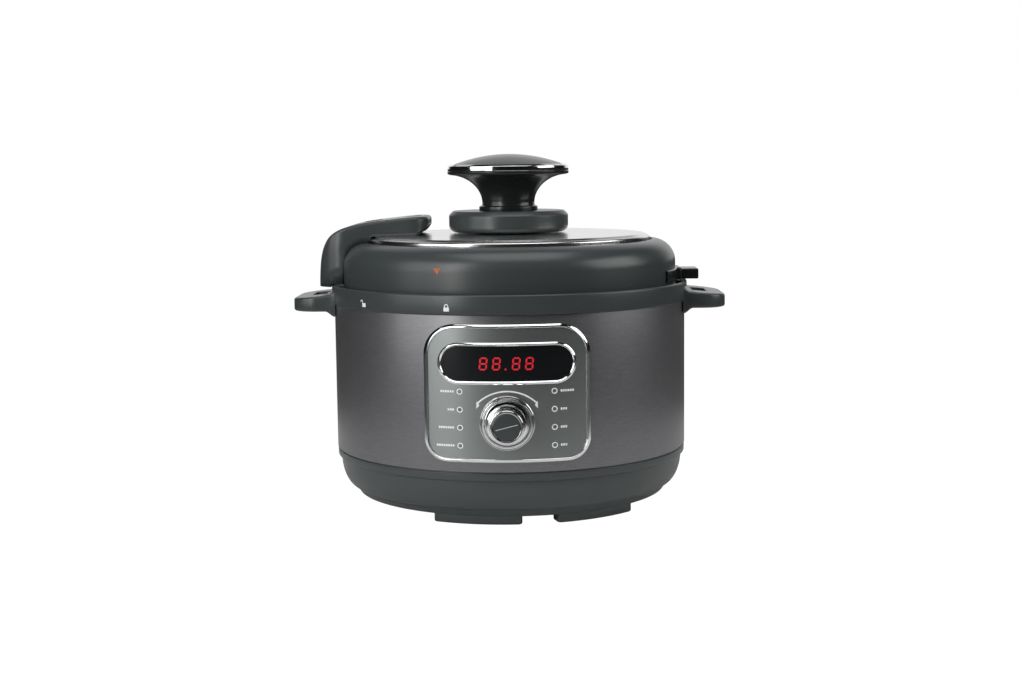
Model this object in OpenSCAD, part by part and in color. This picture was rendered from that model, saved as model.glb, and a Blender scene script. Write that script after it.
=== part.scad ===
// Electric pressure cooker with a knob lid, a steam hood on one side and a round-cornered control panel.
// Origin: the middle of the face it stands on. +Z is up, the panel faces -Y, the handles lie along X.
// All sizes are in millimetres.

/* [Body] */
// Outside diameter of the painted steel sleeve
body_d = 290; // [245:1:360]
// Height of the seam between the base housing and the sleeve
seam_z = 44.5; // [42:0.5:60]
// Height of the steel sleeve
sleeve_h = 119; // [115:1:200]
// Thickness of the steel sleeve
sleeve_wall = 0.8; // [0.5:0.1:1.5]
// Wall of the moulded base housing
base_wall = 2.5; // [2:0.1:4]
// Height of the moulded feet
foot_h = 7; // [4:0.5:14]
// Angle that each foot spans
foot_angle = 32.5; // [15:0.5:38]
// Radial clearance between parts that slide over each other
slip = 0.2; // [0.1:0.05:0.3]

/* [Rim and handles] */
// Height of the rim ring above the sleeve
ring_h = 15; // [15:0.5:22]
// How far the rim ring stands out past the sleeve
ring_proud = 2; // [1:0.1:4]
// Reach of each handle past the sleeve
handle_reach = 32; // [30:0.5:60]
// Width of each handle
handle_w = 76; // [60:1:100]
// Thickness of a handle at its tip
handle_t = 11; // [8:0.5:16]
// Size of the parking slot through each handle, across the handle
slot_w = 30; // [26:1:40]
// Size of the parking slot along the reach of the handle
slot_l = 12; // [8:0.5:14]

/* [Pots] */
// Radial room between the sleeve and the outer pot
pot_gap = 25; // [23:0.5:40]
// Wall of the outer pot
outer_pot_wall = 1.2; // [0.8:0.1:2.5]
// Radial room between the outer pot and the inner pot
inner_gap = 6.8; // [5.5:0.1:12]
// Wall of the inner pot
inner_pot_wall = 1.6; // [1:0.1:3]
// Corner radius at the bottom of the inner pot
pot_corner = 14; // [6:1:25]
// Thickness of the cast heating plate
plate_t = 11; // [10:0.5:16]

/* [Lid] */
// How far the lid's wall stands inside the sleeve's outside face
lid_inset = 7.5; // [6:0.5:12]
// Wall of the lid cover
lid_wall = 2.5; // [2:0.1:3.5]
// Height of the lid's shoulder above the rim ring
lid_h = 34; // [32:0.5:50]
// Radius of the lid's rounded shoulder
shoulder_r = 18; // [12:0.5:20]
// Rise of the steel top plate above the shoulder
plate_rise = 4.8; // [3:0.1:8]
// Crown of the steel top plate over its edge
plate_crown = 1.2; // [0:0.1:5]

/* [Knob] */
// Diameter of the collar under the grip
collar_d = 98.6; // [80:1:120]
// Height of the collar
collar_h = 18; // [12:0.5:25]
// Diameter of the grip at its widest
grip_d = 100.4; // [80:1:120]
// Diameter of the grip's waist
waist_d = 43.2; // [30:1:60]
// Height of the grip
grip_h = 32.5; // [28:0.5:50]
// Height of the trim band round the grip's top
trim_h = 5.5; // [3:0.5:8]
// Rise of the domed cap above the trim band
cap_rise = 8.3; // [4:0.5:15]

/* [Steam hood] */
// Width of the hood
hood_w = 62; // [60:1:80]
// How far the hood stands out past the lid's wall
hood_out = 19; // [16:0.5:22]
// Distance from the lid's wall in to the hood's tip
hood_in = 72.5; // [70:0.5:78]
// Wall of the hood
hood_wall = 2.2; // [1.5:0.1:3]
// Travel of the steam button
button_travel = 3; // [1:0.1:3]

/* [Control panel] */
// Width of the panel frame
panel_w = 126; // [118:0.5:140]
// Height of the panel frame
panel_h = 105; // [100:0.5:108]
// Height of the panel's lower edge above the seam
panel_lift = 7.5; // [4:0.5:12]
// Width of the trim round the panel
frame_t = 3; // [2:0.1:5]
// Width of the display window with its bezel
window_w = 104.5; // [90:0.5:106]
// Height of the display window with its bezel
window_h = 31.5; // [26:0.5:34]
// Outside diameter of the fixed ring round the dial
dial_ring_d = 42; // [38:0.5:48]
// Diameter of the dial's grip at its foot
dial_d = 32; // [26:0.5:32]
// How far the dial stands out of the panel
dial_out = 21.5; // [10:0.5:24]
// Diameter of the push button in the dial
push_d = 21.5; // [14:0.5:22]
// Spacing of the indicator lights down the panel
light_pitch = 13.7; // [10:0.1:14]

/* [Hidden] */
$fn = 180;

// Colours
plastic = [0.30, 0.32, 0.32];
dark_plastic = [0.14, 0.15, 0.15];
paint = [0.40, 0.40, 0.41];
chrome = [0.85, 0.86, 0.87];
steel = [0.72, 0.72, 0.71];
alloy = [0.62, 0.63, 0.64];
silicone = [0.80, 0.78, 0.72];
board_green = [0.10, 0.32, 0.20];
black = [0.06, 0.06, 0.07];

// Shared clearances
gap = 0.4;          // between parts that move past each other
seat = 0.3;         // between a plate and the moulding it lies on
skin = 0.05;        // under thin curved trim that is stuck down
running = 0.05;     // radial, for a shaft in its bore

// Levels and radii of the body
body_r = body_d / 2;
ring_z = seam_z + sleeve_h;
ring_top = ring_z + ring_h;
ring_r = body_r + ring_proud;
sleeve_in_r = body_r - sleeve_wall;
spigot_r = sleeve_in_r - slip;
spigot_t = 2.5;
spigot_h = 6;

// Base housing: a bowl with a band under the seam and a step above the feet
band_z = seam_z - 7.5;
bowl_r = body_r - 3;
bowl_foot_r = body_r - 17.5;
bowl_depth = band_z - foot_h - 5.5;
bowl_swell = 12;
bowl_steps = 6;
bowl_end = 75;      // angle at which the bowl's curve meets the step
step_w = 3.5;
step_h = 5.8;
foot_turns = [-11.5, 33.5, 168.5, 213.5]; // azimuths of the feet, from -Y towards +X
foot_r_in = body_r - 33;
pad_h = 1.6;
pad_proud = 0.6;
pad_margin = 3.5;
floor_t = 2.5;
cover_t = 1.8;
lip_w = 8;
lip_z = foot_h + cover_t + 0.2;
cover_bolt_ring = foot_r_in - lip_w / 2;
cover_bolt_first = 33.5;

// Power inlet, let into a boss at the back of the bowl
inlet_w = 32;
inlet_h = 22;
inlet_z = band_z - 20;
inlet_depth = 24;
inlet_proud = 1.5;
inlet_flange = 3;
boss_margin = 6;
boss_t = 11;
boss_front = body_r - 2;
socket_w = 25;
socket_h = 16.5;
socket_depth = 18;
pin_length = 14;
screw_r = 1.4;
screw_head_r = 2.7;
screw_head_h = 1.8;

// Rim ring
rim_wall = 3.5;
rim_floor_z = ring_top - 4;
shelf_z = ring_top - 16;
shelf_t = 2.5;
collar_pocket_r = body_r - 15.5;
handle_tip = body_r + handle_reach;
handle_top = ring_top - 7.5;
handle_drop = 3;
handle_tip_z = handle_top - handle_drop - handle_t;
gusset_z = handle_tip_z - 4.5;
handle_corner = 20;
handle_chamfer = 2;
slot_x = body_r + 12;

// Pots and lock
pot_r = body_r - pot_gap;
pot_in_r = pot_r - outer_pot_wall;
pot_floor = foot_h + 15;
flange_z = shelf_z + shelf_t;
flange_t = 1.2;
plate_z = pot_floor + outer_pot_wall + 3.8;
plate_top = plate_z + plate_t;
plate_r = pot_in_r - 28.8;
inner_r = pot_in_r - inner_gap;
rim_t = 1.5;
rim_top = ring_top - 13;
rim_r = pot_in_r - 0.8;
collar_r = collar_pocket_r - 0.5;
collar_wall = 3.5;
collar_z = flange_z + flange_t;
collar_seat_t = 1.8;
collar_top = ring_top - 2.5;
lug_t = 2.5;
lug_count = 8;
lug_angle = 360 / lug_count / 2 - 1;
lug_r = pot_in_r - 0.8;
bolt_ring_r = collar_r - collar_wall - screw_head_r - 0.1;

// Heating element and sensor
element_r = 3.2;
element_ring = plate_r - 25;
element_z = plate_z + 3.6;
sensor_r = 12.5;
sensor_hole = 14;
terminal_spread = 15;

// Panel, on the sleeve's own curve
panel_z = seam_z + panel_lift;
panel_top_r = 24;
panel_low_r = 17;
fascia_r = body_r + 1.2;
frame_r = body_r + 2.4;
window_z = panel_z + 59.5;
bezel_t = 2.6;
housing_wall = 2.5;
housing_r = sleeve_in_r - 0.3;
housing_w = panel_w - 16;
housing_h = panel_h - 11;
housing_z = panel_z + (panel_h - housing_h) / 2;
housing_back = body_r - 21;
board_y = body_r - 15.1;
board_t = 1.6;
board_w = 84;
module_w = 60;
module_d = 6;
dial_z = panel_z + 30.7;
dial_bore = dial_ring_d / 2 - 3.4;
bezel_front = fascia_r + 3.3;
knob_back = body_r + 0.8;
knob_front = fascia_r + dial_out;
shaft_r = 3;
stem_r = 1.5;
push_travel = 1.2;
light_x = 35.6;
light_z = panel_z + 13;
light_r = 1.4;

// Lid
lid_r = body_r - lid_inset;
lid_z = ring_top - 2;
lid_top = ring_top + lid_h;
over_rim = 0.8;     // room between the rim ring and what passes above it
shoulder_z = lid_top - shoulder_r * 1.02;
top_r = lid_r - shoulder_r;
groove_r = top_r - 1;
groove_z = lid_top - 2;
top_plate_r = groove_r - 2;
top_plate_edge = lid_top + plate_rise;
top_plate_t = 1;
deck_z = top_plate_edge - top_plate_t - seat - 0.5;
deck_r = top_plate_r - 7;
crown_r = top_plate_r * 0.85;
crown_z = top_plate_edge + plate_crown;
inner_lid_r = pot_in_r - 4.8;
inner_lid_t = 1.6;
inner_lid_z = ring_top - 6;
inner_dome_z = ring_top + 11.5;
inner_dome_r = inner_lid_r - 17;
lid_lug_r = lug_r - gap;
seal_in_r = inner_lid_r - 14;
seal_z = rim_top + gap;
post_ring = inner_dome_r / 2 + 18;
bolt_r = 4;

// Knob
collar_z0 = crown_z + seat;
collar_neck_r = 27;
grip_z = collar_z0 + collar_h;
grip_top = grip_z + grip_h;
trim_top = grip_top + trim_h;
knob_top = trim_top + cap_rise;
grip_r = grip_d / 2;
waist_r = waist_d / 2;
grip_foot_r = waist_r + 2.6;
grip_foot_h = 4;

// Steam hood, along -X
hood_x = lid_r + hood_out;
tip_x = lid_r - hood_in;
hood_low = ring_top + over_rim;
hood_lip = ring_top - 2;
hood_lip_x = ring_r + 1.2;
hood_tip_top = lid_top + 20.5;
hood_tip_low = crown_z + 2.5;
cut_out = lid_r - 17.5;
cut_in = tip_x + 8;
cut_w = 44;

// Release gear under the hood
valve_x = -(tip_x + 21);
pivot_x = valve_x - 14;
press_x = pivot_x - 12;
gear_z = lid_top + 4.5;
valve_r = 9;
prong_y = valve_r + 0.5;
prong_t = 2;
pivot_r = 1.5;
well_r = 9.5;
well_floor = gear_z + 2.3;
well_t = 1.2;
cap_r = 7.7;
spring_r = 4.6;
spring_wire = 0.3;
spring_top = well_floor + well_t + button_travel + 3;
skirt = 2.5;        // wall of the button that hides the spring's top
press_top = ring_top + 52;
inset_low = -press_x + 12;
inset_high = tip_x + 5;
inset_w = hood_w - 12;
inset_slots = valve_x + 14;
float_x = valve_x + 10;
float_y = 17;
float_r = 3;
vent_r = 5;
vent_top = gear_z - 8.5;

// ---------------------------------------------------------------- shapes used more than once

// A straight tube round Z
module tube(r_out, r_in, z0, z1) {
    translate([0, 0, z0]) difference() {
        cylinder(h = z1 - z0, r = r_out);
        translate([0, 0, -1]) cylinder(h = z1 - z0 + 2, r = r_in);
    }
}

// Part of a tube, centred on an azimuth measured from -Y towards +X
module sector(r_out, r_in, z0, z1, azimuth, angle) {
    rotate([0, 0, azimuth - 90 - angle / 2]) rotate_extrude(angle = angle)
        translate([r_in, z0]) square([r_out - r_in, z1 - z0]);
}

// A block between two corners
module block(low, high) {
    translate(low) cube(high - low);
}

// A rod along Y, from y0 to y1
module y_rod(r, x, z, y0, y1) {
    translate([x, y1, z]) rotate([90, 0, 0]) cylinder(h = y1 - y0, r = r);
}

// A flat shape with one radius at the top corners and one at the bottom corners, standing on z0
module plaque(w, h, r_top, r_low) {
    polygon([
        [-w / 2, r_low], [-w / 2 + r_low, 0], [w / 2 - r_low, 0], [w / 2, r_low],
        [w / 2, h - r_top], [w / 2 - r_top, h], [-w / 2 + r_top, h], [-w / 2, h - r_top]
    ]);
    for (side = [-1, 1]) {
        translate([side * (w / 2 - r_low), r_low]) circle(r = r_low);
        translate([side * (w / 2 - r_top), h - r_top]) circle(r = r_top);
    }
}

// A plaque curved to the body: between two radii, at the front
module curved_plaque(w, h, r_top, r_low, z0, r_in, r_out) {
    intersection() {
        tube(r_out, r_in, z0 - 1, z0 + h + 1);
        translate([0, 0, z0]) rotate([90, 0, 0])
            linear_extrude(height = r_out + 5) plaque(w, h, r_top, r_low);
    }
}

// The same shape with plane ends, used to cut openings through the front wall
module plaque_cut(w, h, r_top, r_low, z0, depth) {
    translate([0, -depth, z0]) rotate([90, 0, 0])
        linear_extrude(height = body_r + 15) plaque(w, h, r_top, r_low);
}

// A helical spring on Z: a round wire swept along the helix
module coil(r, wire, z0, z1, turns) {
    steps = 16;
    sides = 6;
    n = turns * steps;
    rise = (z1 - z0 - 2 * wire) / n;
    points = [
        for (i = [0 : n]) for (k = [0 : sides - 1])
            let (a = i * 360 / steps, b = k * 360 / sides, q = r + wire * cos(b))
            [q * cos(a), q * sin(a), z0 + wire + i * rise + wire * sin(b)]
    ];
    walls = [
        for (i = [0 : n - 1]) for (k = [0 : sides - 1])
            let (a = i * sides, b = a + sides, m = (k + 1) % sides)
            [a + k, b + k, b + m, a + m]
    ];
    start = [[for (k = [0 : sides - 1]) k]];
    end = [[for (k = [sides - 1 : -1 : 0]) n * sides + k]];
    polyhedron(points = points, faces = concat(walls, start, end));
}

// Screws pointing up, with their heads below the seat
module screw(length) {
    translate([0, 0, -screw_head_h]) cylinder(h = screw_head_h, r = screw_head_r);
    cylinder(h = length, r = screw_r);
}

// Places its children round a circle
module around(r, count, first) {
    for (i = [0 : count - 1]) rotate([0, 0, first + i * 360 / count]) translate([r, 0, 0]) children();
}

// ---------------------------------------------------------------- base

// Points of the bowl's curve from the band towards the step, drawn in by t
function bowl(t, end) = [
    for (i = [0 : bowl_steps])
        let (a = end * i / bowl_steps)
        [bowl_r - bowl_swell + (bowl_swell - t) * cos(a), band_z - (bowl_depth - t) * sin(a)]
];

function reversed(list) = [for (i = [len(list) - 1 : -1 : 0]) list[i]];

module base_shell() {
    rotate_extrude() polygon(concat(
        [[spigot_r - spigot_t, seam_z], [spigot_r - spigot_t, seam_z + spigot_h],
         [spigot_r, seam_z + spigot_h], [spigot_r, seam_z], [body_r - 0.2, seam_z],
         [body_r - 0.4, band_z + 1.2], [body_r - 1.6, band_z]],
        bowl(0, bowl_end),
        [[bowl_foot_r + step_w, foot_h + step_h], [bowl_foot_r, foot_h], [foot_r_in, foot_h],
         [foot_r_in, lip_z], [foot_r_in - lip_w, lip_z], [foot_r_in - lip_w, lip_z + floor_t],
         [bowl_foot_r - floor_t, lip_z + floor_t], [bowl_foot_r + 2, foot_h + step_h + 3.2]],
        reversed(bowl(base_wall, bowl_end - 15))
    ));
}

// One rubber pad, let into the underside of its foot
module pad(turn, grow, low) {
    sector(bowl_foot_r - pad_margin + grow, foot_r_in + pad_margin - grow, low, pad_h,
           turn, foot_angle - 8 + grow);
}

module base_housing() {
    color(plastic) difference() {
        union() {
            base_shell();
            for (turn = foot_turns)
                sector(bowl_foot_r - 0.5, foot_r_in + 1, pad_proud, foot_h + 1, turn, foot_angle);
            block([-inlet_w / 2 - boss_margin, body_r - boss_t, inlet_z - boss_margin / 2],
                  [inlet_w / 2 + boss_margin, boss_front, inlet_z + inlet_h + boss_margin / 2]);
            around(cover_bolt_ring, 4, cover_bolt_first)
                translate([0, 0, lip_z]) cylinder(h = 8, r = lip_w / 2);
        }
        for (turn = foot_turns) pad(turn, slip, -1);
        block([-inlet_w / 2 - slip, body_r - boss_t - 5, inlet_z - slip],
              [inlet_w / 2 + slip, body_r + 1, inlet_z + inlet_h + slip]);
        inlet_seat(slip);
        around(cover_bolt_ring, 4, cover_bolt_first) cylinder(h = lip_z + 6, r = screw_r);
    }
}

// The flange of the inlet, and the seat for it in the boss
module inlet_seat(grow) {
    block([-inlet_w / 2 - inlet_flange - grow, boss_front, inlet_z - inlet_flange + 1 - grow],
          [inlet_w / 2 + inlet_flange + grow, body_r + inlet_proud + grow,
           inlet_z + inlet_h + inlet_flange - 1 + grow]);
}

module foot_pads() {
    color(black) for (turn = foot_turns) pad(turn, 0, 0);
}

module base_cover() {
    color(dark_plastic) difference() {
        translate([0, 0, foot_h]) cylinder(h = cover_t, r = foot_r_in - slip);
        for (i = [-3 : 3]) for (side = [-1, 1])
            block([i * 12 - 2, side * 45 - 18, 0], [i * 12 + 2, side * 45 + 18, seam_z]);
        around(cover_bolt_ring, 4, cover_bolt_first) cylinder(h = seam_z, r = screw_r + slip);
    }
}

module base_cover_screws() {
    color(steel) around(cover_bolt_ring, 4, cover_bolt_first)
        translate([0, 0, foot_h]) screw(lip_z - foot_h + 5.5);
}

module body_sleeve() {
    color(paint) difference() {
        tube(body_r, sleeve_in_r, seam_z, ring_z);
        plaque_cut(panel_w - 2 * frame_t - 4, panel_h - 2 * frame_t - 4, panel_top_r - frame_t - 2,
                   panel_low_r - frame_t - 2, panel_z + frame_t + 2, 0);
    }
}

// Side view of one handle, from inside the ring out to its tip
module handle_profile() {
    polygon([
        [body_r - 3, handle_top], [handle_tip - handle_chamfer, handle_top - handle_drop],
        [handle_tip, handle_top - handle_drop - handle_chamfer],
        [handle_tip, handle_tip_z + handle_chamfer], [handle_tip - handle_chamfer, handle_tip_z],
        [body_r + 6, handle_tip_z], [body_r + 3, handle_tip_z - 0.8],
        [body_r - 1, gusset_z + 0.8], [body_r - 4, gusset_z]
    ]);
}

module handle() {
    reach = handle_tip - body_r + 30;
    difference() {
        intersection() {
            translate([0, handle_w / 2, 0]) rotate([90, 0, 0])
                linear_extrude(height = handle_w) handle_profile();
            translate([0, 0, gusset_z - 1]) linear_extrude(height = handle_top - gusset_z + 2)
                translate([handle_tip - reach, 0]) rotate([0, 0, -90])
                plaque(handle_w, reach, handle_corner, 1);
        }
        block([slot_x - slot_l / 2, -slot_w / 2, gusset_z - 1],
              [slot_x + slot_l / 2, slot_w / 2, handle_top + 1]);
    }
}

module rim_section() {
    polygon([
        [ring_r - rim_wall, ring_top - 0.5], [ring_r - rim_wall + 0.5, ring_top],
        [ring_r - 1.5, ring_top], [ring_r, ring_top - 1.5], [ring_r, ring_z + 0.6],
        [ring_r - 0.6, ring_z], [spigot_r, ring_z], [spigot_r, ring_z - spigot_h],
        [spigot_r - spigot_t, ring_z - spigot_h], [spigot_r - spigot_t, shelf_z],
        [pot_r + 0.5, shelf_z], [pot_r + 0.5, shelf_z + shelf_t], [collar_pocket_r, shelf_z + shelf_t],
        [collar_pocket_r, rim_floor_z], [ring_r - rim_wall, rim_floor_z]
    ]);
}

module rim_ring() {
    color(plastic) difference() {
        union() {
            rotate_extrude() rim_section();
            difference() {
                for (side = [0, 1]) mirror([side, 0, 0]) handle();
                translate([0, 0, gusset_z - 1]) cylinder(h = ring_z - gusset_z + 1, r = body_r + seat);
                translate([0, 0, ring_z - 1]) cylinder(h = ring_h + 2, r = ring_r - rim_wall);
            }
        }
        around(bolt_ring_r, 4, 45) translate([0, 0, shelf_z - 1]) cylinder(h = shelf_t + 2, r = screw_r);
    }
}

// ---------------------------------------------------------------- pots, lock and heating

module outer_pot() {
    color(steel) difference() {
        rotate_extrude() polygon([
            [0, pot_floor], [pot_r, pot_floor], [pot_r, flange_z], [collar_r, flange_z],
            [collar_r, flange_z + flange_t], [pot_in_r, flange_z + flange_t],
            [pot_in_r, pot_floor + outer_pot_wall], [0, pot_floor + outer_pot_wall]
        ]);
        around(bolt_ring_r, 4, 45) translate([0, 0, flange_z - 1]) cylinder(h = 4, r = screw_r + slip);
        terminals(1.5, pot_floor - 2, plate_z);
    }
}

module inner_pot() {
    color(alloy) difference() {
        union() {
            rotate_extrude() pot_section(inner_r, plate_top, rim_top, pot_corner);
            tube(rim_r, inner_r - 0.5, rim_top - rim_t, rim_top);
        }
        rotate_extrude() pot_section(inner_r - inner_pot_wall, plate_top + inner_pot_wall,
                                     rim_top + 1, pot_corner - inner_pot_wall);
    }
}

// Half the side view of a straight pot with a round bottom corner
module pot_section(r, z0, z1, corner) {
    square_from([0, z0 + corner], [r, z1]);
    square_from([0, z0], [r - corner, z1]);
    intersection() {
        translate([r - corner, z0 + corner]) circle(r = corner);
        square_from([0, z0], [r, z1]);
    }
}

module square_from(low, high) {
    translate(low) square(high - low);
}

module lock_collar() {
    color(steel) difference() {
        union() {
            tube(collar_r, collar_r - collar_wall, collar_z, collar_top);
            tube(collar_r, pot_in_r + 1, collar_z, collar_z + collar_seat_t);
            for (i = [0 : lug_count - 1])
                sector(collar_r - collar_wall + 0.5, lug_r, collar_top - lug_t, collar_top,
                       i * 360 / lug_count, 2 * lug_angle);
        }
        around(bolt_ring_r, 4, 45) translate([0, 0, collar_z - 1]) cylinder(h = 4, r = screw_r + slip);
    }
}

module collar_bolts() {
    color(steel) around(bolt_ring_r, 4, 45)
        translate([0, 0, collar_z + collar_seat_t]) mirror([0, 0, 1])
        screw(collar_seat_t + flange_t + shelf_t + 3);
}

module heating_plate() {
    color(alloy) difference() {
        union() {
            translate([0, 0, plate_z]) cylinder(h = plate_t, r = plate_r);
            around(plate_r - 12, 3, 90)
                translate([0, 0, pot_floor + outer_pot_wall]) cylinder(h = 5, r = 6);
        }
        translate([0, 0, plate_z - 1]) cylinder(h = plate_t + 2, r = sensor_hole);
        rotate_extrude() translate([element_ring, element_z]) circle(r = element_r + seat);
        tube(element_ring + element_r + seat, element_ring - element_r - seat, plate_z - 1, element_z);
    }
}

// The element's two end pins, standing down from its ring
module terminals(grow, low, high) {
    for (side = [-1, 1]) rotate([0, 0, side * terminal_spread]) translate([element_ring, 0, low])
        cylinder(h = high - low, r = element_r - 0.8 + grow);
}

module heating_element() {
    color(steel) union() {
        rotate([0, 0, terminal_spread]) rotate_extrude(angle = 360 - 2 * terminal_spread)
            translate([element_ring, element_z]) circle(r = element_r);
        terminals(0, pot_floor - 6, element_z);
    }
}

module thermal_sensor() {
    color(steel) {
        translate([0, 0, plate_top - 3]) cylinder(h = 3, r = sensor_r);
        tube(sensor_r, sensor_r - 1, plate_z + 1, plate_top - 2);
    }
}

module sensor_spring() {
    color(steel) coil(sensor_r - 3.5, 0.7, pot_floor + outer_pot_wall, plate_top - 3, 5);
}

module pressure_switch() {
    color(dark_plastic) rotate([0, 0, 200]) {
        block([30, -10, pot_floor - 9.5], [60, 10, pot_floor - 1.5]);
        translate([45, 0, pot_floor - 2]) cylinder(h = 2, r = 2.5);
    }
}

module thermal_fuse() {
    color(black) rotate([0, 0, 160]) translate([pot_r + 3, 0, pot_floor + 35]) cylinder(h = 30, r = 2.8);
}

// ---------------------------------------------------------------- electrics

module power_board() {
    back = housing_back + 10;
    color(board_green) block([-32, back - board_t, seam_z + 18], [32, back, seam_z + 98]);
    color(black) block([-27, back - 11, seam_z + 22], [-7, back - board_t, seam_z + 44]);
    color(paint) block([2, back - 11, seam_z + 24], [26, back - board_t, seam_z + 46]);
    color(black) for (x = [-20, -4, 14])
        translate([x, back - 6.5, seam_z + 58]) cylinder(h = 22, r = 4.8);
}

module board_bracket() {
    back = housing_back + 10;
    color(steel) {
        block([-20, back, seam_z - 0.5], [20, back + 1.2, seam_z + 101]);
        block([-20, back, seam_z - 0.5], [20, back + 4, seam_z + 0.7]);
    }
}

module power_inlet() {
    front = body_r + inlet_proud;
    color(black) difference() {
        union() {
            block([-inlet_w / 2, front - inlet_depth, inlet_z], [inlet_w / 2, front, inlet_z + inlet_h]);
            inlet_seat(0);
        }
        block([-socket_w / 2, front - socket_depth, inlet_z + (inlet_h - socket_h) / 2],
              [socket_w / 2, front + 1, inlet_z + (inlet_h + socket_h) / 2]);
    }
}

module inlet_pins() {
    back = body_r + inlet_proud - socket_depth;
    color(steel) for (pin = [[-7, -1.5], [7, -1.5], [0, 3.5]])
        block([pin[0] - 1, back, inlet_z + inlet_h / 2 + pin[1] - 2],
              [pin[0] + 1, back + pin_length, inlet_z + inlet_h / 2 + pin[1] + 2]);
}

// Cuts for the lights and the dial's shaft, through anything at the front
module light_cuts(grow) {
    for (side = [-1, 1]) for (i = [0 : 3])
        y_rod(light_r + grow, side * light_x, light_z + i * light_pitch, -body_r - 10, -board_y + board_t);
}

module panel_housing() {
    color(dark_plastic) difference() {
        intersection() {
            cylinder(h = ring_z, r = housing_r);
            block([-housing_w / 2, -body_r, housing_z],
                  [housing_w / 2, -housing_back, housing_z + housing_h]);
        }
        intersection() {
            cylinder(h = ring_z, r = housing_r - housing_wall);
            block([-housing_w / 2 + housing_wall, -body_r, housing_z + housing_wall],
                  [housing_w / 2 - housing_wall, 0, housing_z + housing_h - housing_wall]);
        }
        plaque_cut(window_w - 2 * bezel_t - 20, window_h - 10, 4, 4, window_z + 5, housing_back + 5);
        y_rod(dial_bore - 4, 0, dial_z, -body_r, -housing_back - 5);
        light_cuts(slip);
    }
}

module control_board() {
    color(board_green) block([-board_w / 2, -board_y, housing_z + 4],
                             [board_w / 2, -board_y + board_t, housing_z + housing_h - 4]);
}

module display_module() {
    color(black) block([-module_w / 2, -board_y - module_d, window_z + window_h / 2 - 11],
                       [module_w / 2, -board_y, window_z + window_h / 2 + 11]);
}

module encoder() {
    color(steel) difference() {
        block([-6.5, -board_y - 6, dial_z - 6.5], [6.5, -board_y, dial_z + 6.5]);
        y_rod(shaft_r + running, 0, dial_z, -board_y - 7, -board_y - 1.5);
    }
}

module indicator_lights() {
    color([0.9, 0.9, 0.86]) intersection() {
        light_cuts(0);
        difference() {
            cylinder(h = ring_z, r = fascia_r);
            block([-body_r, -board_y, 0], [body_r, body_r, ring_z]);
        }
    }
}

// ---------------------------------------------------------------- panel

module panel_fascia() {
    color([0.45, 0.47, 0.47]) difference() {
        curved_plaque(panel_w - 2 * frame_t - slip, panel_h - 2 * frame_t - slip,
                      panel_top_r - frame_t, panel_low_r - frame_t,
                      panel_z + frame_t + slip / 2, body_r + skin, fascia_r);
        plaque_cut(window_w - 2 * bezel_t + 1, window_h - 2 * bezel_t + 1,
                   window_h / 2 - bezel_t + 0.5, window_h / 2 - bezel_t + 0.5,
                   window_z + bezel_t - 0.5, 0);
        y_rod(dial_bore + 1.4, 0, dial_z, -body_r - 10, -1);
        light_cuts(slip);
    }
}

module panel_frame() {
    color(chrome) difference() {
        curved_plaque(panel_w, panel_h, panel_top_r, panel_low_r, panel_z, body_r + skin, frame_r);
        plaque_cut(panel_w - 2 * frame_t, panel_h - 2 * frame_t, panel_top_r - frame_t,
                   panel_low_r - frame_t, panel_z + frame_t, 0);
    }
}

module display_bezel() {
    color(chrome) difference() {
        curved_plaque(window_w, window_h, window_h / 2 - 0.01, window_h / 2 - 0.01, window_z,
                      fascia_r + skin, fascia_r + 0.9);
        plaque_cut(window_w - 2 * bezel_t, window_h - 2 * bezel_t, window_h / 2 - bezel_t - 0.01,
                   window_h / 2 - bezel_t - 0.01, window_z + bezel_t, 0);
    }
}

module display_window() {
    low = bezel_t - 0.5 + slip;
    color(black) curved_plaque(window_w - 2 * low, window_h - 2 * low, window_h / 2 - low - 0.01,
                               window_h / 2 - low - 0.01, window_z + low, housing_r + 0.05, fascia_r - 0.1);
}

module dial_bezel() {
    color(chrome) difference() {
        y_rod(dial_ring_d / 2, 0, dial_z, -bezel_front, -body_r + 5);
        y_rod(dial_bore, 0, dial_z, -bezel_front - 1, 0);
        cylinder(h = ring_z, r = fascia_r + skin);
    }
}

// The dial turns about -Y; this draws it standing on z = 0 and pointing up
module dial_body() {
    out = knob_front - knob_back;
    difference() {
        rotate_extrude() polygon([
            [0, 0], [dial_bore - gap, 0], [dial_bore - gap, 3], [dial_d / 2 + 0.4, 3.4],
            [dial_d / 2, 4], [dial_d / 2 - 2.2, out - 1.5], [dial_d / 2 - 3.2, out],
            [0, out]
        ]);
        translate([0, 0, out - 6]) cylinder(h = 7, r = push_d / 2 + slip);
        translate([0, 0, -1]) cylinder(h = out, r = shaft_r);
    }
}

// Turns a shape that points up so that it points out of the panel, at the dial
module at_dial(y) {
    translate([0, -y, dial_z]) rotate([90, 0, 0]) children();
}

module dial_knob() {
    color(chrome) at_dial(knob_back) dial_body();
}

module encoder_shaft() {
    low = board_y + 2;
    color(steel) at_dial(low) difference() {
        cylinder(h = knob_front - 8 - low, r = shaft_r);
        translate([0, 0, -1]) cylinder(h = body_r, r = stem_r + slip);
    }
}

module select_button() {
    head = 6 - push_travel - 1;
    color(dark_plastic) at_dial(knob_front) {
        translate([0, 0, -head]) cylinder(h = head, r = push_d / 2);
        translate([0, 0, board_y + 3.3 - knob_front]) cylinder(h = knob_front - board_y - 4, r = stem_r);
    }
}

// ---------------------------------------------------------------- lid

// The slider in the rim's channel that the lid carries round with it
module lid_catch() {
    color(black) sector(ring_r - rim_wall - 0.7, lid_r + gap + 0.3, rim_floor_z + seat,
                        ring_top - 1.2, 90, 5);
}

function shoulder(t) = [
    for (a = [0 : 11.25 : 90])
        [top_r + (shoulder_r - t) * cos(a), shoulder_z + (lid_top - shoulder_z - t) * sin(a)]
];

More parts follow.
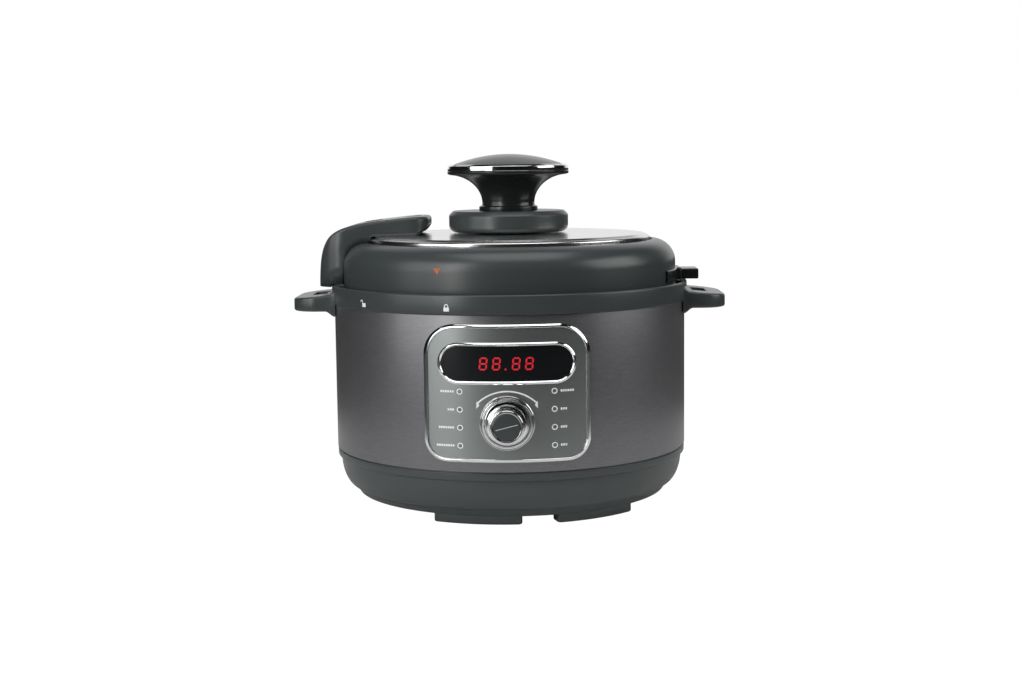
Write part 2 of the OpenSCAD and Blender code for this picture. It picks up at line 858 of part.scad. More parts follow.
module hood_cut(low, high) {
    block([-cut_out, -cut_w / 2, low], [-cut_in, cut_w / 2, high]);
}

module lid_cover() {
    color(plastic) difference() {
        union() {
            rotate_extrude() polygon(concat(
                [[lid_r - lid_wall, lid_z], [lid_r - 0.5, lid_z], [lid_r, lid_z + 0.5]],
                shoulder(0),
                [[groove_r, lid_top - 0.4], [groove_r, groove_z], [deck_r + 1.5, groove_z],
                 [deck_r, deck_z], [0, deck_z], [0, deck_z - lid_wall], [deck_r - 1, deck_z - lid_wall],
                 [deck_r, groove_z - lid_wall]],
                reversed(shoulder(lid_wall))
            ));
            around(post_ring, 4, 45) translate([0, 0, inner_dome_z])
                cylinder(h = deck_z - inner_dome_z - 1, r = 4.5);
        }
        translate([0, 0, lid_z]) cylinder(h = lid_h * 2, r = bolt_r + slip);
        hood_cut(groove_z - lid_wall - 4, lid_top + 20);
        around(post_ring, 4, 45) translate([0, 0, inner_dome_z - 1]) cylinder(h = 13, r = screw_r);
    }
}

// Half the side view of the top plate's upper face, lowered by t
function plate_face(t) = [
    [0, crown_z - t], [crown_r / 2, crown_z - 0.25 * plate_crown - t],
    [crown_r, top_plate_edge + 0.28 * plate_crown - t], [top_plate_r - 1.5, top_plate_edge - t]
];

module lid_plate() {
    color(steel) difference() {
        rotate_extrude() polygon(concat(
            plate_face(0), [[top_plate_r, lid_top + 0.2], [top_plate_r - top_plate_t, lid_top]],
            reversed(plate_face(top_plate_t))
        ));
        translate([0, 0, deck_z]) cylinder(h = 20, r = bolt_r + slip);
        block([-cut_out, -cut_w / 2, deck_z - 10], [-cut_in, cut_w / 2, crown_z + 5]);
    }
}

module lid_spacer() {
    color(steel) difference() {
        translate([0, 0, inner_dome_z]) cylinder(h = deck_z - lid_wall - inner_dome_z, r = 12);
        cylinder(h = crown_z, r = bolt_r + slip);
    }
}

module lid_screws() {
    color(steel) around(post_ring, 4, 45)
        translate([0, 0, inner_dome_z - inner_lid_t]) screw(inner_lid_t + 11);
}

// Half the side view of the inner lid's upper face, drawn in by t
function dome_face(t) = [
    [0, inner_dome_z - t], [inner_dome_r - t, inner_dome_z - t],
    [inner_dome_r + 8 - t, inner_dome_z - 8 - t * 0.4], [inner_dome_r + 9.5 - t, inner_lid_z - t]
];

module inner_lid() {
    color(steel) difference() {
        union() {
            rotate_extrude() polygon(concat(
                dome_face(0),
                [[inner_lid_r, inner_lid_z], [inner_lid_r, seal_z + 0.6],
                 [inner_lid_r - 1.2, seal_z + 0.6], [inner_lid_r - 1.2, inner_lid_z - inner_lid_t]],
                reversed(dome_face(inner_lid_t))
            ));
            for (i = [0 : lug_count - 1])
                sector(lid_lug_r, inner_lid_r - 0.6, inner_lid_z - 2.2, inner_lid_z,
                       i * 360 / lug_count, 2 * lug_angle);
        }
        translate([0, 0, lid_z]) cylinder(h = 50, r = bolt_r + slip);
        translate([valve_x, 0, lid_z]) cylinder(h = 50, r = vent_r);
        translate([float_x, float_y, lid_z]) cylinder(h = 50, r = float_r + gap);
        around(post_ring, 4, 45) translate([0, 0, lid_z]) cylinder(h = 50, r = screw_r);
    }
}

module sealing_ring() {
    color(silicone) rotate_extrude() polygon([
        [seal_in_r, inner_lid_z - inner_lid_t - 0.6], [inner_lid_r - 1.4, inner_lid_z - inner_lid_t - 0.6],
        [inner_lid_r - 1.4, seal_z + 1.2], [inner_lid_r - 3, seal_z], [seal_in_r + 4, seal_z],
        [seal_in_r + 4, seal_z + 1.6], [seal_in_r + 9, seal_z + 1.6], [seal_in_r + 9, inner_lid_z - 3.6],
        [seal_in_r, inner_lid_z - 3.6]
    ]);
}

module gasket_rack() {
    color(steel) tube(seal_in_r - 0.2, seal_in_r - 1.6, seal_z + 0.4, inner_lid_z - inner_lid_t - 0.6);
}

module vent_pipe() {
    color(steel) translate([valve_x, 0, 0]) difference() {
        union() {
            translate([0, 0, inner_dome_z - 9]) cylinder(h = vent_top - inner_dome_z + 9, r = vent_r);
            translate([0, 0, inner_dome_z]) cylinder(h = 3, r = vent_r + 3.5);
        }
        cylinder(h = knob_top, r = 1.5);
    }
}

module anti_block_shield() {
    low = inner_dome_z - inner_lid_t - 7.5;
    color(steel) translate([valve_x, 0, 0]) difference() {
        translate([0, 0, low]) cylinder(h = 7.5, r = 8.5);
        translate([0, 0, low + 1]) cylinder(h = 5.5, r = 7.5);
        cylinder(h = knob_top, r = vent_r);
        around(7.5, 8, 0) translate([0, 0, low + 2]) cylinder(h = 3.5, r = 1.4);
    }
}

// ---------------------------------------------------------------- knob

module knob_collar() {
    r = collar_d / 2;
    color(plastic) difference() {
        rotate_extrude() polygon([
            [0, collar_z0], [collar_neck_r, collar_z0], [collar_neck_r, collar_z0 + 1],
            [r - 5, collar_z0 + 1.2], [r - 2, collar_z0 + 2.4], [r - 0.4, collar_z0 + 5],
            [r, collar_z0 + 7], [r, grip_z - 4.5], [r - 1, grip_z - 3], [r - 3.6, grip_z], [0, grip_z]
        ]);
        cylinder(h = knob_top, r = bolt_r + slip);
    }
}

// Half the side view of the grip from its foot to its widest: a waist that sweeps out to the top
function grip_side() = [
    for (i = [0 : 12])
        let (u = i / 12, a = 90 * u)
        [waist_r + (grip_r - waist_r) * (1 - cos(a)), grip_z + grip_foot_h + 2 + (grip_h - 9) * sin(a)]
];

module knob_grip() {
    color(dark_plastic) difference() {
        rotate_extrude() polygon(concat(
            [[0, grip_z], [grip_foot_r, grip_z], [grip_foot_r, grip_z + grip_foot_h - 0.8],
             [grip_foot_r - 1.4, grip_z + grip_foot_h]],
            grip_side(),
            [[grip_r, grip_top - 0.6], [grip_r - 0.8, grip_top], [grip_r - 5, grip_top],
             [grip_r - 5, grip_top - 3], [0, grip_top - 3]]
        ));
        cylinder(h = grip_top - 8, r = bolt_r + slip);
    }
}

module knob_trim_ring() {
    color(chrome) rotate_extrude() polygon([
        [grip_r - 5, grip_top + 0.05], [grip_r - 0.4, grip_top + 0.05], [grip_r, grip_top + 0.6],
        [grip_r - 0.5, trim_top - 1.4], [grip_r - 2.2, trim_top], [grip_r - 5, trim_top]
    ]);
}

module knob_cap() {
    r = grip_r - 5 - slip;
    color(dark_plastic) rotate_extrude() polygon(concat(
        [[0, grip_top - 2.9], [r - 1.2, grip_top - 2.9], [r, grip_top - 2]],
        [for (i = [0 : 8]) let (a = 90 * i / 8)
            [r * cos(a), trim_top + cap_rise * (1 - pow(cos(a), 2))]]
    ));
}

module knob_bolt() {
    color(steel) {
        translate([0, 0, inner_dome_z - inner_lid_t - 1])
            cylinder(h = grip_top - 8.5 - inner_dome_z, r = bolt_r);
        translate([0, 0, inner_dome_z - inner_lid_t - 4]) cylinder(h = 4, r = 9);
    }
}

module lid_fin() {
    color(dark_plastic) difference() {
        union() {
            block([lid_r - 4, -16, hood_low], [lid_r + 5.5, 16, hood_low + 9.5]);
            block([lid_r, -slot_w / 2 + 1, hood_low], [lid_r + 18.5, slot_w / 2 - 1, hood_low + 7.5]);
        }
        cylinder(h = knob_top, r = lid_r);
    }
}

// ---------------------------------------------------------------- steam hood and release

// Side view of the hood, from its foot over the shoulder to the tip, drawn in by t
function hood_side(t) = [
    [hood_x - t, hood_lip], [hood_x - 0.8 - t, ring_top + 11], [hood_x - 2.6 - t, ring_top + 23],
    [hood_x - 5.5 - t, ring_top + 32 - t / 2], [hood_x - 10.5 - t, ring_top + 39 - t],
    [hood_x - 17.5 - t, ring_top + 44 - t], [hood_x - 27 - t, ring_top + 47.6 - t],
    [hood_x - 37 - t / 2, ring_top + 49.9 - t], [hood_x - 58, ring_top + 52.3 - t],
    [hood_x - 80, hood_tip_top - t], [tip_x + 6 + t, hood_tip_top - 0.2 - t],
    [tip_x + 1.4 + t, hood_tip_top - 2 - t / 2], [tip_x + t, hood_tip_low]
];

module hood_solid(t) {
    low = hood_lip - 1;
    intersection() {
        translate([0, hood_w / 2, 0]) rotate([90, 0, 0]) linear_extrude(height = hood_w) mirror([1, 0])
            polygon(concat(hood_side(t), [[tip_x + t, low], [hood_x - t, low]]));
        translate([0, 0, low]) linear_extrude(height = 100) translate([-hood_x + t, 0]) rotate([0, 0, -90])
            plaque(hood_w - 2 * t, hood_x - tip_x - 2 * t, 16 - t, 22 - t);
    }
}

// Everything that the hood must stay clear of: the lid's own surface and the rim below
module hood_bed() {
    translate([0, 0, hood_lip - 5]) cylinder(h = hood_low - hood_lip + 5, r = hood_lip_x);
    rotate_extrude() polygon(concat(
        [[0, lid_z], [lid_r + seat, lid_z]],
        [for (p = shoulder(-seat)) p],
        [[top_plate_r + 1, lid_top + seat], [top_plate_r, top_plate_edge + seat],
         [crown_r, top_plate_edge + 0.28 * plate_crown + seat],
         [crown_r / 2, crown_z - 0.25 * plate_crown + seat], [0, crown_z + seat]]
    ));
}

module steam_hood() {
    color(plastic) difference() {
        hood_solid(0);
        hood_bed();
        difference() {
            hood_solid(hood_wall);
            translate([-hood_x, 0, 0]) block([0, -hood_w, 0], [hood_x - lid_r + 3, hood_w, hood_low]);
        }
        block([-hood_x - 1, -hood_w, 0], [-tip_x + 1, hood_w, hood_lip]);
        panel_shape(slip, hood_tip_top + 5);
        translate([press_x, 0, gear_z]) cylinder(h = 40, r = well_r + slip);
    }
}

// Outline of the inset panel on the hood's top, from well below it up to a level
module panel_shape(grow, high) {
    translate([-inset_low - grow, 0, well_floor]) rotate([0, 0, -90])
        linear_extrude(height = high - well_floor)
        plaque(inset_w + 2 * grow, inset_low - inset_high + 2 * grow, 10, 10);
}

module hood_panel() {
    color(dark_plastic) difference() {
        union() {
            intersection() {
                difference() {
                    hood_solid(0.4);
                    hood_solid(hood_wall);
                }
                panel_shape(0, hood_tip_top + 5);
                block([-hood_x, -hood_w, hood_tip_top - 9], [0, hood_w, hood_tip_top + 5]);
            }
            intersection() {
                translate([press_x, 0, well_floor]) cylinder(h = 30, r = well_r);
                hood_solid(0.4);
            }
            for (side = [-1, 1]) intersection() {
                block([pivot_x - 3, side * 14 - 1.5, gear_z - 3.5],
                      [pivot_x + 3, side * 14 + 1.5, hood_tip_top]);
                hood_solid(0.8);
            }
        }
        translate([press_x, 0, well_floor + well_t]) cylinder(h = 40, r = cap_r + slip);
        translate([press_x, 0, 0]) cylinder(h = knob_top, r = stem_r + gap);
        y_rod(pivot_r + running, pivot_x, gear_z, -hood_w, hood_w);
        translate([float_x, float_y, 0]) cylinder(h = knob_top, r = float_r + gap);
        for (i = [-2 : 2])
            block([valve_x + 1, i * 5 - 1, well_floor], [inset_slots, i * 5 + 1, knob_top]);
    }
}

module steam_button() {
    color(dark_plastic) translate([press_x, 0, 0]) {
        difference() {
            translate([0, 0, spring_top - skirt]) cylinder(h = press_top - spring_top + skirt, r = cap_r);
            translate([0, 0, spring_top - skirt - 1]) cylinder(h = skirt + 1, r = spring_r + 1.2);
        }
        translate([0, 0, gear_z + 1.7]) cylinder(h = spring_top - gear_z, r = stem_r);
    }
}

module button_spring() {
    color(steel) translate([press_x, 0, 0]) coil(spring_r, spring_wire, well_floor + well_t, spring_top, 3);
}

// Rocks on its pivot: the button presses its narrow end, and its two prongs lift the valve
module valve_lever() {
    color(steel) {
        y_rod(pivot_r, pivot_x, gear_z, -15.4, 15.4);
        block([press_x - 3, -3, gear_z - 0.9], [pivot_x, 3, gear_z + 0.9]);
        block([pivot_x - 2, -prong_y - prong_t, gear_z - 0.9],
              [pivot_x + 2, prong_y + prong_t, gear_z + 0.9]);
        for (side = [-1, 1]) {
            y = side * (prong_y + prong_t / 2);
            block([pivot_x, y - prong_t / 2, gear_z - 0.9], [valve_x + 1.5, y + prong_t / 2, gear_z + 0.9]);
            y_rod(0.9, valve_x, gear_z, min(side * (valve_r - 2.2), y), max(side * (valve_r - 2.2), y));
        }
    }
}

module pressure_valve() {
    neck = 5.5;
    color(dark_plastic) translate([valve_x, 0, 0]) difference() {
        union() {
            translate([0, 0, gear_z - 11]) cylinder(h = 8.5, r = valve_r);
            translate([0, 0, gear_z - 3]) cylinder(h = 6, r = neck);
            translate([0, 0, gear_z + 1.8]) cylinder(h = 2, r = valve_r);
        }
        translate([0, 0, gear_z - 12]) cylinder(h = vent_top - gear_z + 12, r = vent_r + gap);
    }
}

module float_pin() {
    color([0.75, 0.15, 0.12]) translate([float_x, float_y, 0]) {
        translate([0, 0, inner_dome_z - 10]) cylinder(h = hood_tip_top - inner_dome_z + 3, r = float_r);
        translate([0, 0, inner_dome_z - 12]) cylinder(h = 2, r = float_r + 2.5);
    }
}

module float_seal() {
    color(silicone) translate([float_x, float_y, 0])
        tube(float_r + 2.2, float_r, inner_dome_z - 10, inner_dome_z - 8.4);
}

base_housing();
foot_pads();
base_cover();
base_cover_screws();
body_sleeve();
rim_ring();
outer_pot();
inner_pot();
lock_collar();
collar_bolts();
heating_plate();
heating_element();
thermal_sensor();
sensor_spring();
pressure_switch();
thermal_fuse();
power_board();
board_bracket();
power_inlet();
inlet_pins();
panel_housing();
control_board();
display_module();
encoder();
indicator_lights();
panel_fascia();
panel_frame();
display_bezel();
display_window();
dial_bezel();
dial_knob();
encoder_shaft();
select_button();
lid_catch();
lid_cover();
lid_plate();
lid_spacer();
lid_screws();
inner_lid();
sealing_ring();
gasket_rack();
vent_pipe();
anti_block_shield();
knob_collar();
knob_grip();
knob_trim_ring();
knob_cap();
knob_bolt();
lid_fin();
steam_hood();
hood_panel();
steam_button();
button_spring();
valve_lever();
pressure_valve();
float_pin();
float_seal();
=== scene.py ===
from math import cos, hypot, pi, radians, sin, sqrt, tan

import bmesh
import bpy
from mathutils import Matrix, Vector


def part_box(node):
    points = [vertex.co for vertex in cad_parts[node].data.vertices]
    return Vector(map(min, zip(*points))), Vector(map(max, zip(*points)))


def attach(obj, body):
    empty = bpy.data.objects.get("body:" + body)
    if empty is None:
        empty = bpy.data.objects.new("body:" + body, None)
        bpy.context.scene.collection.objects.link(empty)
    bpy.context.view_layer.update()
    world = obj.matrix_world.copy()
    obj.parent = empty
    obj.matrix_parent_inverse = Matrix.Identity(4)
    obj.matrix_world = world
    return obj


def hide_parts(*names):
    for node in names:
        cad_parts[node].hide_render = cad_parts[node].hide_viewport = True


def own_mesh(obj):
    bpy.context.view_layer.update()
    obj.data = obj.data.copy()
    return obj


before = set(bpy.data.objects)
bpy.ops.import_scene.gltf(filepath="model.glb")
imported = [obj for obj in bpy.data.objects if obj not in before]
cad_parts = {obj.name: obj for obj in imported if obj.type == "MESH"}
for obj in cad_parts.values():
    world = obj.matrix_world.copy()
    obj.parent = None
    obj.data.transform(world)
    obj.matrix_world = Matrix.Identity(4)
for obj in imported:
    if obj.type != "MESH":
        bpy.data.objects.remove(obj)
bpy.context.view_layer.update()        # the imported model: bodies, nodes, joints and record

# Lengths are in millimetres until a mesh is made, and come from the boxes of the fixed frame.
MM = 0.001
AROUND = 256             # points round a turned piece


def low(node):
    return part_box(node)[0] / MM


def high(node):
    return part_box(node)[1] / MM


BODY_R = high("body_sleeve").y
SEAM_Z = low("body_sleeve").z
RING_Z = high("body_sleeve").z
RING_R = high("rim_ring").y
RING_TOP = high("rim_ring").z
HANDLE_TIP = high("rim_ring").x
HANDLE_TOP = RING_TOP - 7.5
HANDLE_LOW = RING_TOP - 21.3
LID_R = high("lid_cover").x
LID_Z = low("lid_cover").z
LID_TOP = RING_TOP + 34
PLATE_R = high("lid_plate").x
PLATE_TOP = high("lid_plate").z
COLLAR_R = high("knob_collar").x
COLLAR_Z = low("knob_collar").z
GRIP_R = high("knob_grip").x
GRIP_Z = low("knob_grip").z
GRIP_TOP = high("knob_grip").z
TRIM_TOP = high("knob_trim_ring").z
KNOB_TOP = high("knob_cap").z
PANEL_W = 2 * high("panel_frame").x
PANEL_Z = low("panel_frame").z
PANEL_H = high("panel_frame").z - PANEL_Z
FASCIA_R = -low("panel_fascia").y
WINDOW_W = 2 * high("display_bezel").x
WINDOW_Z = low("display_bezel").z
WINDOW_H = high("display_bezel").z - WINDOW_Z
DIAL_Z = (low("dial_knob").z + high("dial_knob").z) / 2
DIAL_OUT = -low("dial_knob").y
HOOD_END = -low("steam_hood").x
HOOD_TIP = -high("steam_hood").x
HOOD_HALF = high("steam_hood").y
HOOD_LOW = low("steam_hood").z
HOOD_TOP = high("steam_hood").z
BUTTON_X = (low("steam_button").x + high("steam_button").x) / 2
BUTTON_TOP = high("steam_button").z
FOOT_TURNS = (-11.5, 33.5, 168.5, 213.5)   # azimuths of the feet, from the front towards the right


# ---------------------------------------------------------------- finishes

def srgb(red, green, blue):
    """Linear colour of an everyday 0 to 255 colour"""
    def linear(value):
        value /= 255
        return value / 12.92 if value <= 0.04045 else ((value + 0.055) / 1.055) ** 2.4
    return (linear(red), linear(green), linear(blue), 1.0)


class Signal:
    """A number in a material's node tree, with Python's arithmetic"""

    def __init__(self, finish, socket):
        self.finish = finish
        self.socket = socket

    def math(self, operation, first, second):
        return self.finish.node("ShaderNodeMath", {"operation": operation}, {0: first, 1: second})

    def __add__(self, other):
        return self.math("ADD", self, other)

    def __radd__(self, other):
        return self.math("ADD", other, self)

    def __mul__(self, other):
        return self.math("MULTIPLY", self, other)


class Nodes:
    """A node tree under way"""

    def __init__(self, tree):
        self.tree = tree

    def node(self, kind, settings=None, values=None, output=0):
        """Adds a node: its settings first, then the values or links of its sockets"""
        made = self.tree.nodes.new(kind)
        for key, value in (settings or {}).items():
            if key == "stops":
                ramp = made.color_ramp
                ramp.elements[0].position, ramp.elements[0].color = value[0]
                ramp.elements[1].position, ramp.elements[1].color = value[-1]
                for place, colour in value[1:-1]:
                    ramp.elements.new(place).color = colour
            else:
                setattr(made, key, value)
        for socket, value in (values or {}).items():
            self.set(made.inputs[socket], value)
        return Signal(self, made.outputs[output])

    def eased(self, value, start, end, at_start, at_end):
        """Goes smoothly from one number to another as a value goes from start to end"""
        return self.node("ShaderNodeMapRange", {"interpolation_type": "SMOOTHSTEP"},
                         {"Value": value, "From Min": start, "From Max": end,
                          "To Min": at_start, "To Max": at_end})

    def set(self, socket, value):
        if isinstance(value, Signal):
            self.tree.links.new(value.socket, socket)
        else:
            socket.default_value = value


class Finish(Nodes):
    """A material under way: its node tree, its shader and the patterns made in it"""

    def __init__(self, name, **constants):
        self.material = bpy.data.materials.new(name)
        self.material.use_nodes = True
        super().__init__(self.material.node_tree)
        self.shader = self.tree.nodes["Principled BSDF"]
        for socket, value in constants.items():
            self.shader.inputs[socket.replace("_", " ")].default_value = value

    def feed(self, socket, value):
        self.set(self.shader.inputs[socket], value)
        return self

    def place(self):
        return self.node("ShaderNodeTexCoord", output="Object")

    def stretched(self, x, y, z):
        return self.node("ShaderNodeVectorMath", {"operation": "MULTIPLY"}, {0: self.place(), 1: (x, y, z)})

    def noise(self, x, y, z, detail=2.0):
        """Cloudy pattern with that many lumps a metre along each axis"""
        return self.node("ShaderNodeTexNoise", None,
                         {"Vector": self.stretched(x, y, z), "Scale": 1.0, "Detail": detail})

    def rings(self, per_metre, drift=3.0):
        """Fine rings round the Z axis"""
        flat = self.node("ShaderNodeVectorMath", {"operation": "LENGTH"},
                         {0: self.stretched(per_metre, per_metre, 0)}, output="Value")
        wander = self.noise(drift, drift, drift)
        vector = self.node("ShaderNodeCombineXYZ", None, {0: flat, 1: wander, 2: 0.0})
        return self.node("ShaderNodeTexNoise", None, {"Vector": vector, "Scale": 1.0, "Detail": 3.0})

    def blend(self, amount, first, second):
        return self.node("ShaderNodeMix", {"data_type": "RGBA"},
                         {0: amount, 6: first, 7: second}, output=2)

    def bump(self, height, depth, strength=0.4):
        normal = self.node("ShaderNodeBump", None,
                           {"Height": height, "Distance": depth * MM, "Strength": strength})
        return self.feed("Normal", normal)


def moulded(name, dark, light, roughness, grain=1800, depth=0.02, **constants):
    """Moulded plastic: a fine even grain and a faint cloudiness in its gloss"""
    finish = Finish(name, **constants)
    cloud = finish.noise(9, 9, 9, 3.0)
    fine = finish.noise(grain, grain, grain, 1.0)
    finish.feed("Base Color", finish.blend(cloud, dark, light))
    finish.feed("Roughness", roughness - 0.05 + cloud * 0.06 + fine * 0.05)
    return finish.bump(fine, depth).material


def metal(name, dark, light, roughness, streaks, depth=0.004, spread=0.12, **constants):
    """Bare metal, with streaks as many a metre along X, Y and Z"""
    finish = Finish(name, Metallic=1.0, **constants)
    lines = finish.noise(*streaks, 4.0)
    cloud = finish.noise(25, 25, 25, 3.0)
    finish.feed("Base Color", finish.blend(lines, dark, light))
    finish.feed("Roughness", roughness - spread / 2 + lines * spread + cloud * 0.05)
    return finish.bump(lines, depth).material


def pearl_paint():
    """Dark pearl lacquer on steel that was brushed round the body"""
    finish = Finish("pearl_paint", Metallic=0.72, Coat_Weight=0.25, Coat_Roughness=0.18)
    streaks = finish.noise(110, 110, 1400, 3.0)
    flakes = finish.noise(2200, 2200, 2200, 0.0)
    cloud = finish.noise(14, 14, 6, 2.0)
    tone = streaks * 0.40 + flakes * 0.45 + cloud * 0.15
    finish.feed("Base Color", finish.blend(tone, srgb(82, 82, 84), srgb(146, 146, 149)))
    finish.feed("Roughness", 0.30 + streaks * 0.12 + flakes * 0.06)
    return finish.bump(streaks * 0.5 + flakes * 0.5, 0.018).material


def brushed_plate():
    """Steel disc with the fine rings of its brushing"""
    finish = Finish("brushed_plate", Metallic=1.0)
    rings = finish.rings(2600)
    cloud = finish.noise(20, 20, 20)
    finish.feed("Base Color", finish.blend(rings, srgb(216, 216, 216), srgb(230, 230, 229)))
    finish.feed("Roughness", 0.15 + rings * 0.06 + cloud * 0.04)
    return finish.bump(rings, 0.002, 0.2).material


def turned_alloy(name, dark, light, roughness):
    """Alloy with the rings left by the lathe or the spinning tool"""
    finish = Finish(name, Metallic=1.0)
    rings = finish.rings(900)
    cloud = finish.noise(30, 30, 30, 4.0)
    finish.feed("Base Color", finish.blend(cloud, dark, light))
    finish.feed("Roughness", roughness + rings * 0.12 + cloud * 0.06)
    return finish.bump(rings, 0.01).material


def fascia_paint():
    """Satin silver-grey metallic paint under a thin clear film"""
    finish = Finish("fascia", Metallic=0.9, Coat_Weight=0.3, Coat_Roughness=0.2)
    flakes = finish.noise(3200, 3200, 3200, 0.0)
    cloud = finish.noise(12, 12, 12)
    finish.feed("Base Color", finish.blend(flakes, srgb(138, 143, 141), srgb(160, 165, 163)))
    finish.feed("Roughness", 0.33 + flakes * 0.06 + cloud * 0.04)
    return finish.bump(flakes, 0.004).material


def window_glass():
    """Smoked acrylic, nearly black, with a hard gloss"""
    finish = Finish("window", Coat_Weight=1.0, Coat_Roughness=0.03, IOR=1.49)
    cloud = finish.noise(40, 40, 40)
    finish.feed("Base Color", finish.blend(cloud, srgb(10, 12, 15), srgb(18, 21, 25)))
    finish.feed("Roughness", 0.06 + cloud * 0.05)
    return finish.bump(cloud, 0.01, 0.1).material


def soft_rubber(name, dark, light, roughness, **constants):
    """Silicone or rubber: a chalky bloom over a soft, slightly uneven skin"""
    finish = Finish(name, **constants)
    bloom = finish.noise(60, 60, 60, 4.0)
    skin = finish.noise(900, 900, 900)
    finish.feed("Base Color", finish.blend(bloom, dark, light))
    finish.feed("Roughness", roughness + bloom * 0.12)
    return finish.bump(skin, 0.03).material


def circuit_board():
    """Green solder mask with paler copper runs under it"""
    finish = Finish("board", Coat_Weight=0.4, Coat_Roughness=0.2)
    cells = finish.node("ShaderNodeTexVoronoi", {"distance": "MANHATTAN"},
                        {"Vector": finish.stretched(220, 220, 220), "Scale": 1.0})
    runs = finish.node("ShaderNodeMath", {"operation": "GREATER_THAN"}, {0: cells, 1: 0.55})
    finish.feed("Base Color", finish.blend(runs, srgb(20, 66, 42), srgb(52, 112, 74)))
    finish.feed("Roughness", 0.35 + cells * 0.1)
    return finish.bump(runs, 0.03).material


def printed(name, dark, light, glow=0.0):
    """A printed or lit mark: thin ink with a slightly broken edge. Its glow is a lit mark's own light, and a
    painted glow where it is given to plain white ink
    """
    finish = Finish(name, Emission_Strength=glow)
    ink = finish.noise(1500, 1500, 1500, 2.0)
    finish.feed("Base Color", finish.blend(ink, dark, light))
    finish.feed("Roughness", 0.4 + ink * 0.15)
    if glow:
        finish.feed("Emission Color", finish.blend(ink, dark, light))
    return finish.material


FINISHES = {
    "housing_plastic": moulded("housing_plastic", srgb(62, 67, 67), srgb(70, 75, 75), 0.30),
    "dark_plastic": moulded("dark_plastic", srgb(34, 37, 37), srgb(40, 43, 43), 0.22),
    "black_plastic": moulded("black_plastic", srgb(24, 25, 26), srgb(31, 32, 33), 0.42, 1200, 0.03),
    "pearl_paint": pearl_paint(),
    "chrome_trim": metal("chrome_trim", srgb(232, 233, 234), srgb(244, 245, 245), 0.07,
                         (60, 60, 60), 0.001, 0.05),
    "brushed_plate": brushed_plate(),
    "pressed_steel": metal("pressed_steel", srgb(168, 168, 166), srgb(196, 196, 194), 0.30,
                           (90, 90, 700), 0.006),
    "pot_alloy": turned_alloy("pot_alloy", srgb(158, 158, 156), srgb(184, 184, 182), 0.26),
    "cast_alloy": turned_alloy("cast_alloy", srgb(140, 141, 140), srgb(170, 171, 170), 0.42),
    "silicone": soft_rubber("silicone", srgb(206, 202, 190), srgb(222, 219, 208), 0.45,
                            Subsurface_Weight=0.15),
    "pad_rubber": soft_rubber("pad_rubber", srgb(26, 27, 28), srgb(38, 39, 40), 0.62),
    "board": circuit_board(),
    "window": window_glass(),
    "fascia": fascia_paint(),
    "light_pipe": printed("light_pipe", srgb(86, 92, 90), srgb(120, 126, 124)),
    "float_red": moulded("float_red", srgb(168, 34, 26), srgb(188, 42, 32), 0.32),
}
# The white ink gets a painted glow (emission 0.12) that keeps the prints bright whatever light falls on them; the
# red figures glow with the display's own light.
WHITE_INK_PAINTED_GLOW = printed("white_ink_painted_glow", srgb(228, 231, 229), srgb(247, 249, 248), 0.12)
ORANGE_INK = printed("orange_ink", srgb(196, 92, 48), srgb(222, 112, 64))
RED_GLOW = printed("red_glow", srgb(176, 22, 34), srgb(206, 34, 46), 0.55)

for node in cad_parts.values():
    for held in node.material_slots:
        held.material = FINISHES[held.material.name.split(".")[0]]


# ---------------------------------------------------------------- shapes used more than once

def piece(name, mesh, body, slot, replaced=(), material=None, crisp=32):
    """Turns a bmesh in millimetres into an object that rides on a body and has its finish"""
    bmesh.ops.remove_doubles(mesh, verts=mesh.verts, dist=0.004)
    bmesh.ops.recalc_face_normals(mesh, faces=mesh.faces)
    bmesh.ops.transform(mesh, matrix=Matrix.Scale(MM, 4), verts=mesh.verts)
    data = bpy.data.meshes.new(name)
    mesh.to_mesh(data)
    mesh.free()
    for face in data.polygons:
        face.use_smooth = True
    data.set_sharp_from_angle(angle=radians(crisp))
    data.materials.append(material or FINISHES[slot])
    made = bpy.data.objects.new(name, data)
    bpy.context.scene.collection.objects.link(made)
    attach(made, body)
    if replaced:
        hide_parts(*replaced)
    return made


def lofted(mesh, loops, closed=False, capped=False):
    """Joins rings of points, each to the next, and the last to the first if closed"""
    rows = [[mesh.verts.new(point) for point in loop] for loop in loops]
    following = rows[1:] + (rows[:1] if closed else [])
    for row, after in zip(rows, following):
        for i in range(len(row)):
            j = (i + 1) % len(row)
            mesh.faces.new((row[i], row[j], after[j], after[i]))
    if capped:
        mesh.faces.new(rows[0])
        mesh.faces.new(rows[-1])
    return mesh


def rounded(corners, steps=5):
    """Points of an outline given as (x, y, radius) corners, with an arc at each radius"""
    points = []
    for i, (x, y, radius) in enumerate(corners):
        here = Vector((x, y))
        if not radius:
            points.append((x, y))
            continue
        back = Vector(corners[i - 1][:2]) - here
        on = Vector(corners[(i + 1) % len(corners)][:2]) - here
        half = back.angle(on) / 2
        reach = min(radius / tan(half), 0.48 * back.length, 0.48 * on.length)
        centre = here + (back.normalized() + on.normalized()).normalized() * reach / cos(half)
        start = here + back.normalized() * reach - centre
        side = 1 if back.cross(on) < 0 else -1
        for k in range(steps + 1):
            turn = side * (pi - 2 * half) * k / steps
            points.append((centre.x + start.x * cos(turn) - start.y * sin(turn),
                           centre.y + start.x * sin(turn) + start.y * cos(turn)))
    return points


def circles(outline, count=AROUND, ripple=None):
    """A ring of points about Z for each (radius, height) point, with a ripple added to the radius"""
    angles = [2 * pi * i / count for i in range(count)]
    reaches = [ripple(a) if ripple else 0 for a in angles]
    return [[((r + d) * cos(a), (r + d) * sin(a), z) for a, d in zip(angles, reaches)] for r, z in outline]


def turned(outline, closed=True, count=AROUND):
    """Revolves (radius, height) points about Z"""
    return lofted(bmesh.new(), circles(outline, count), closed)


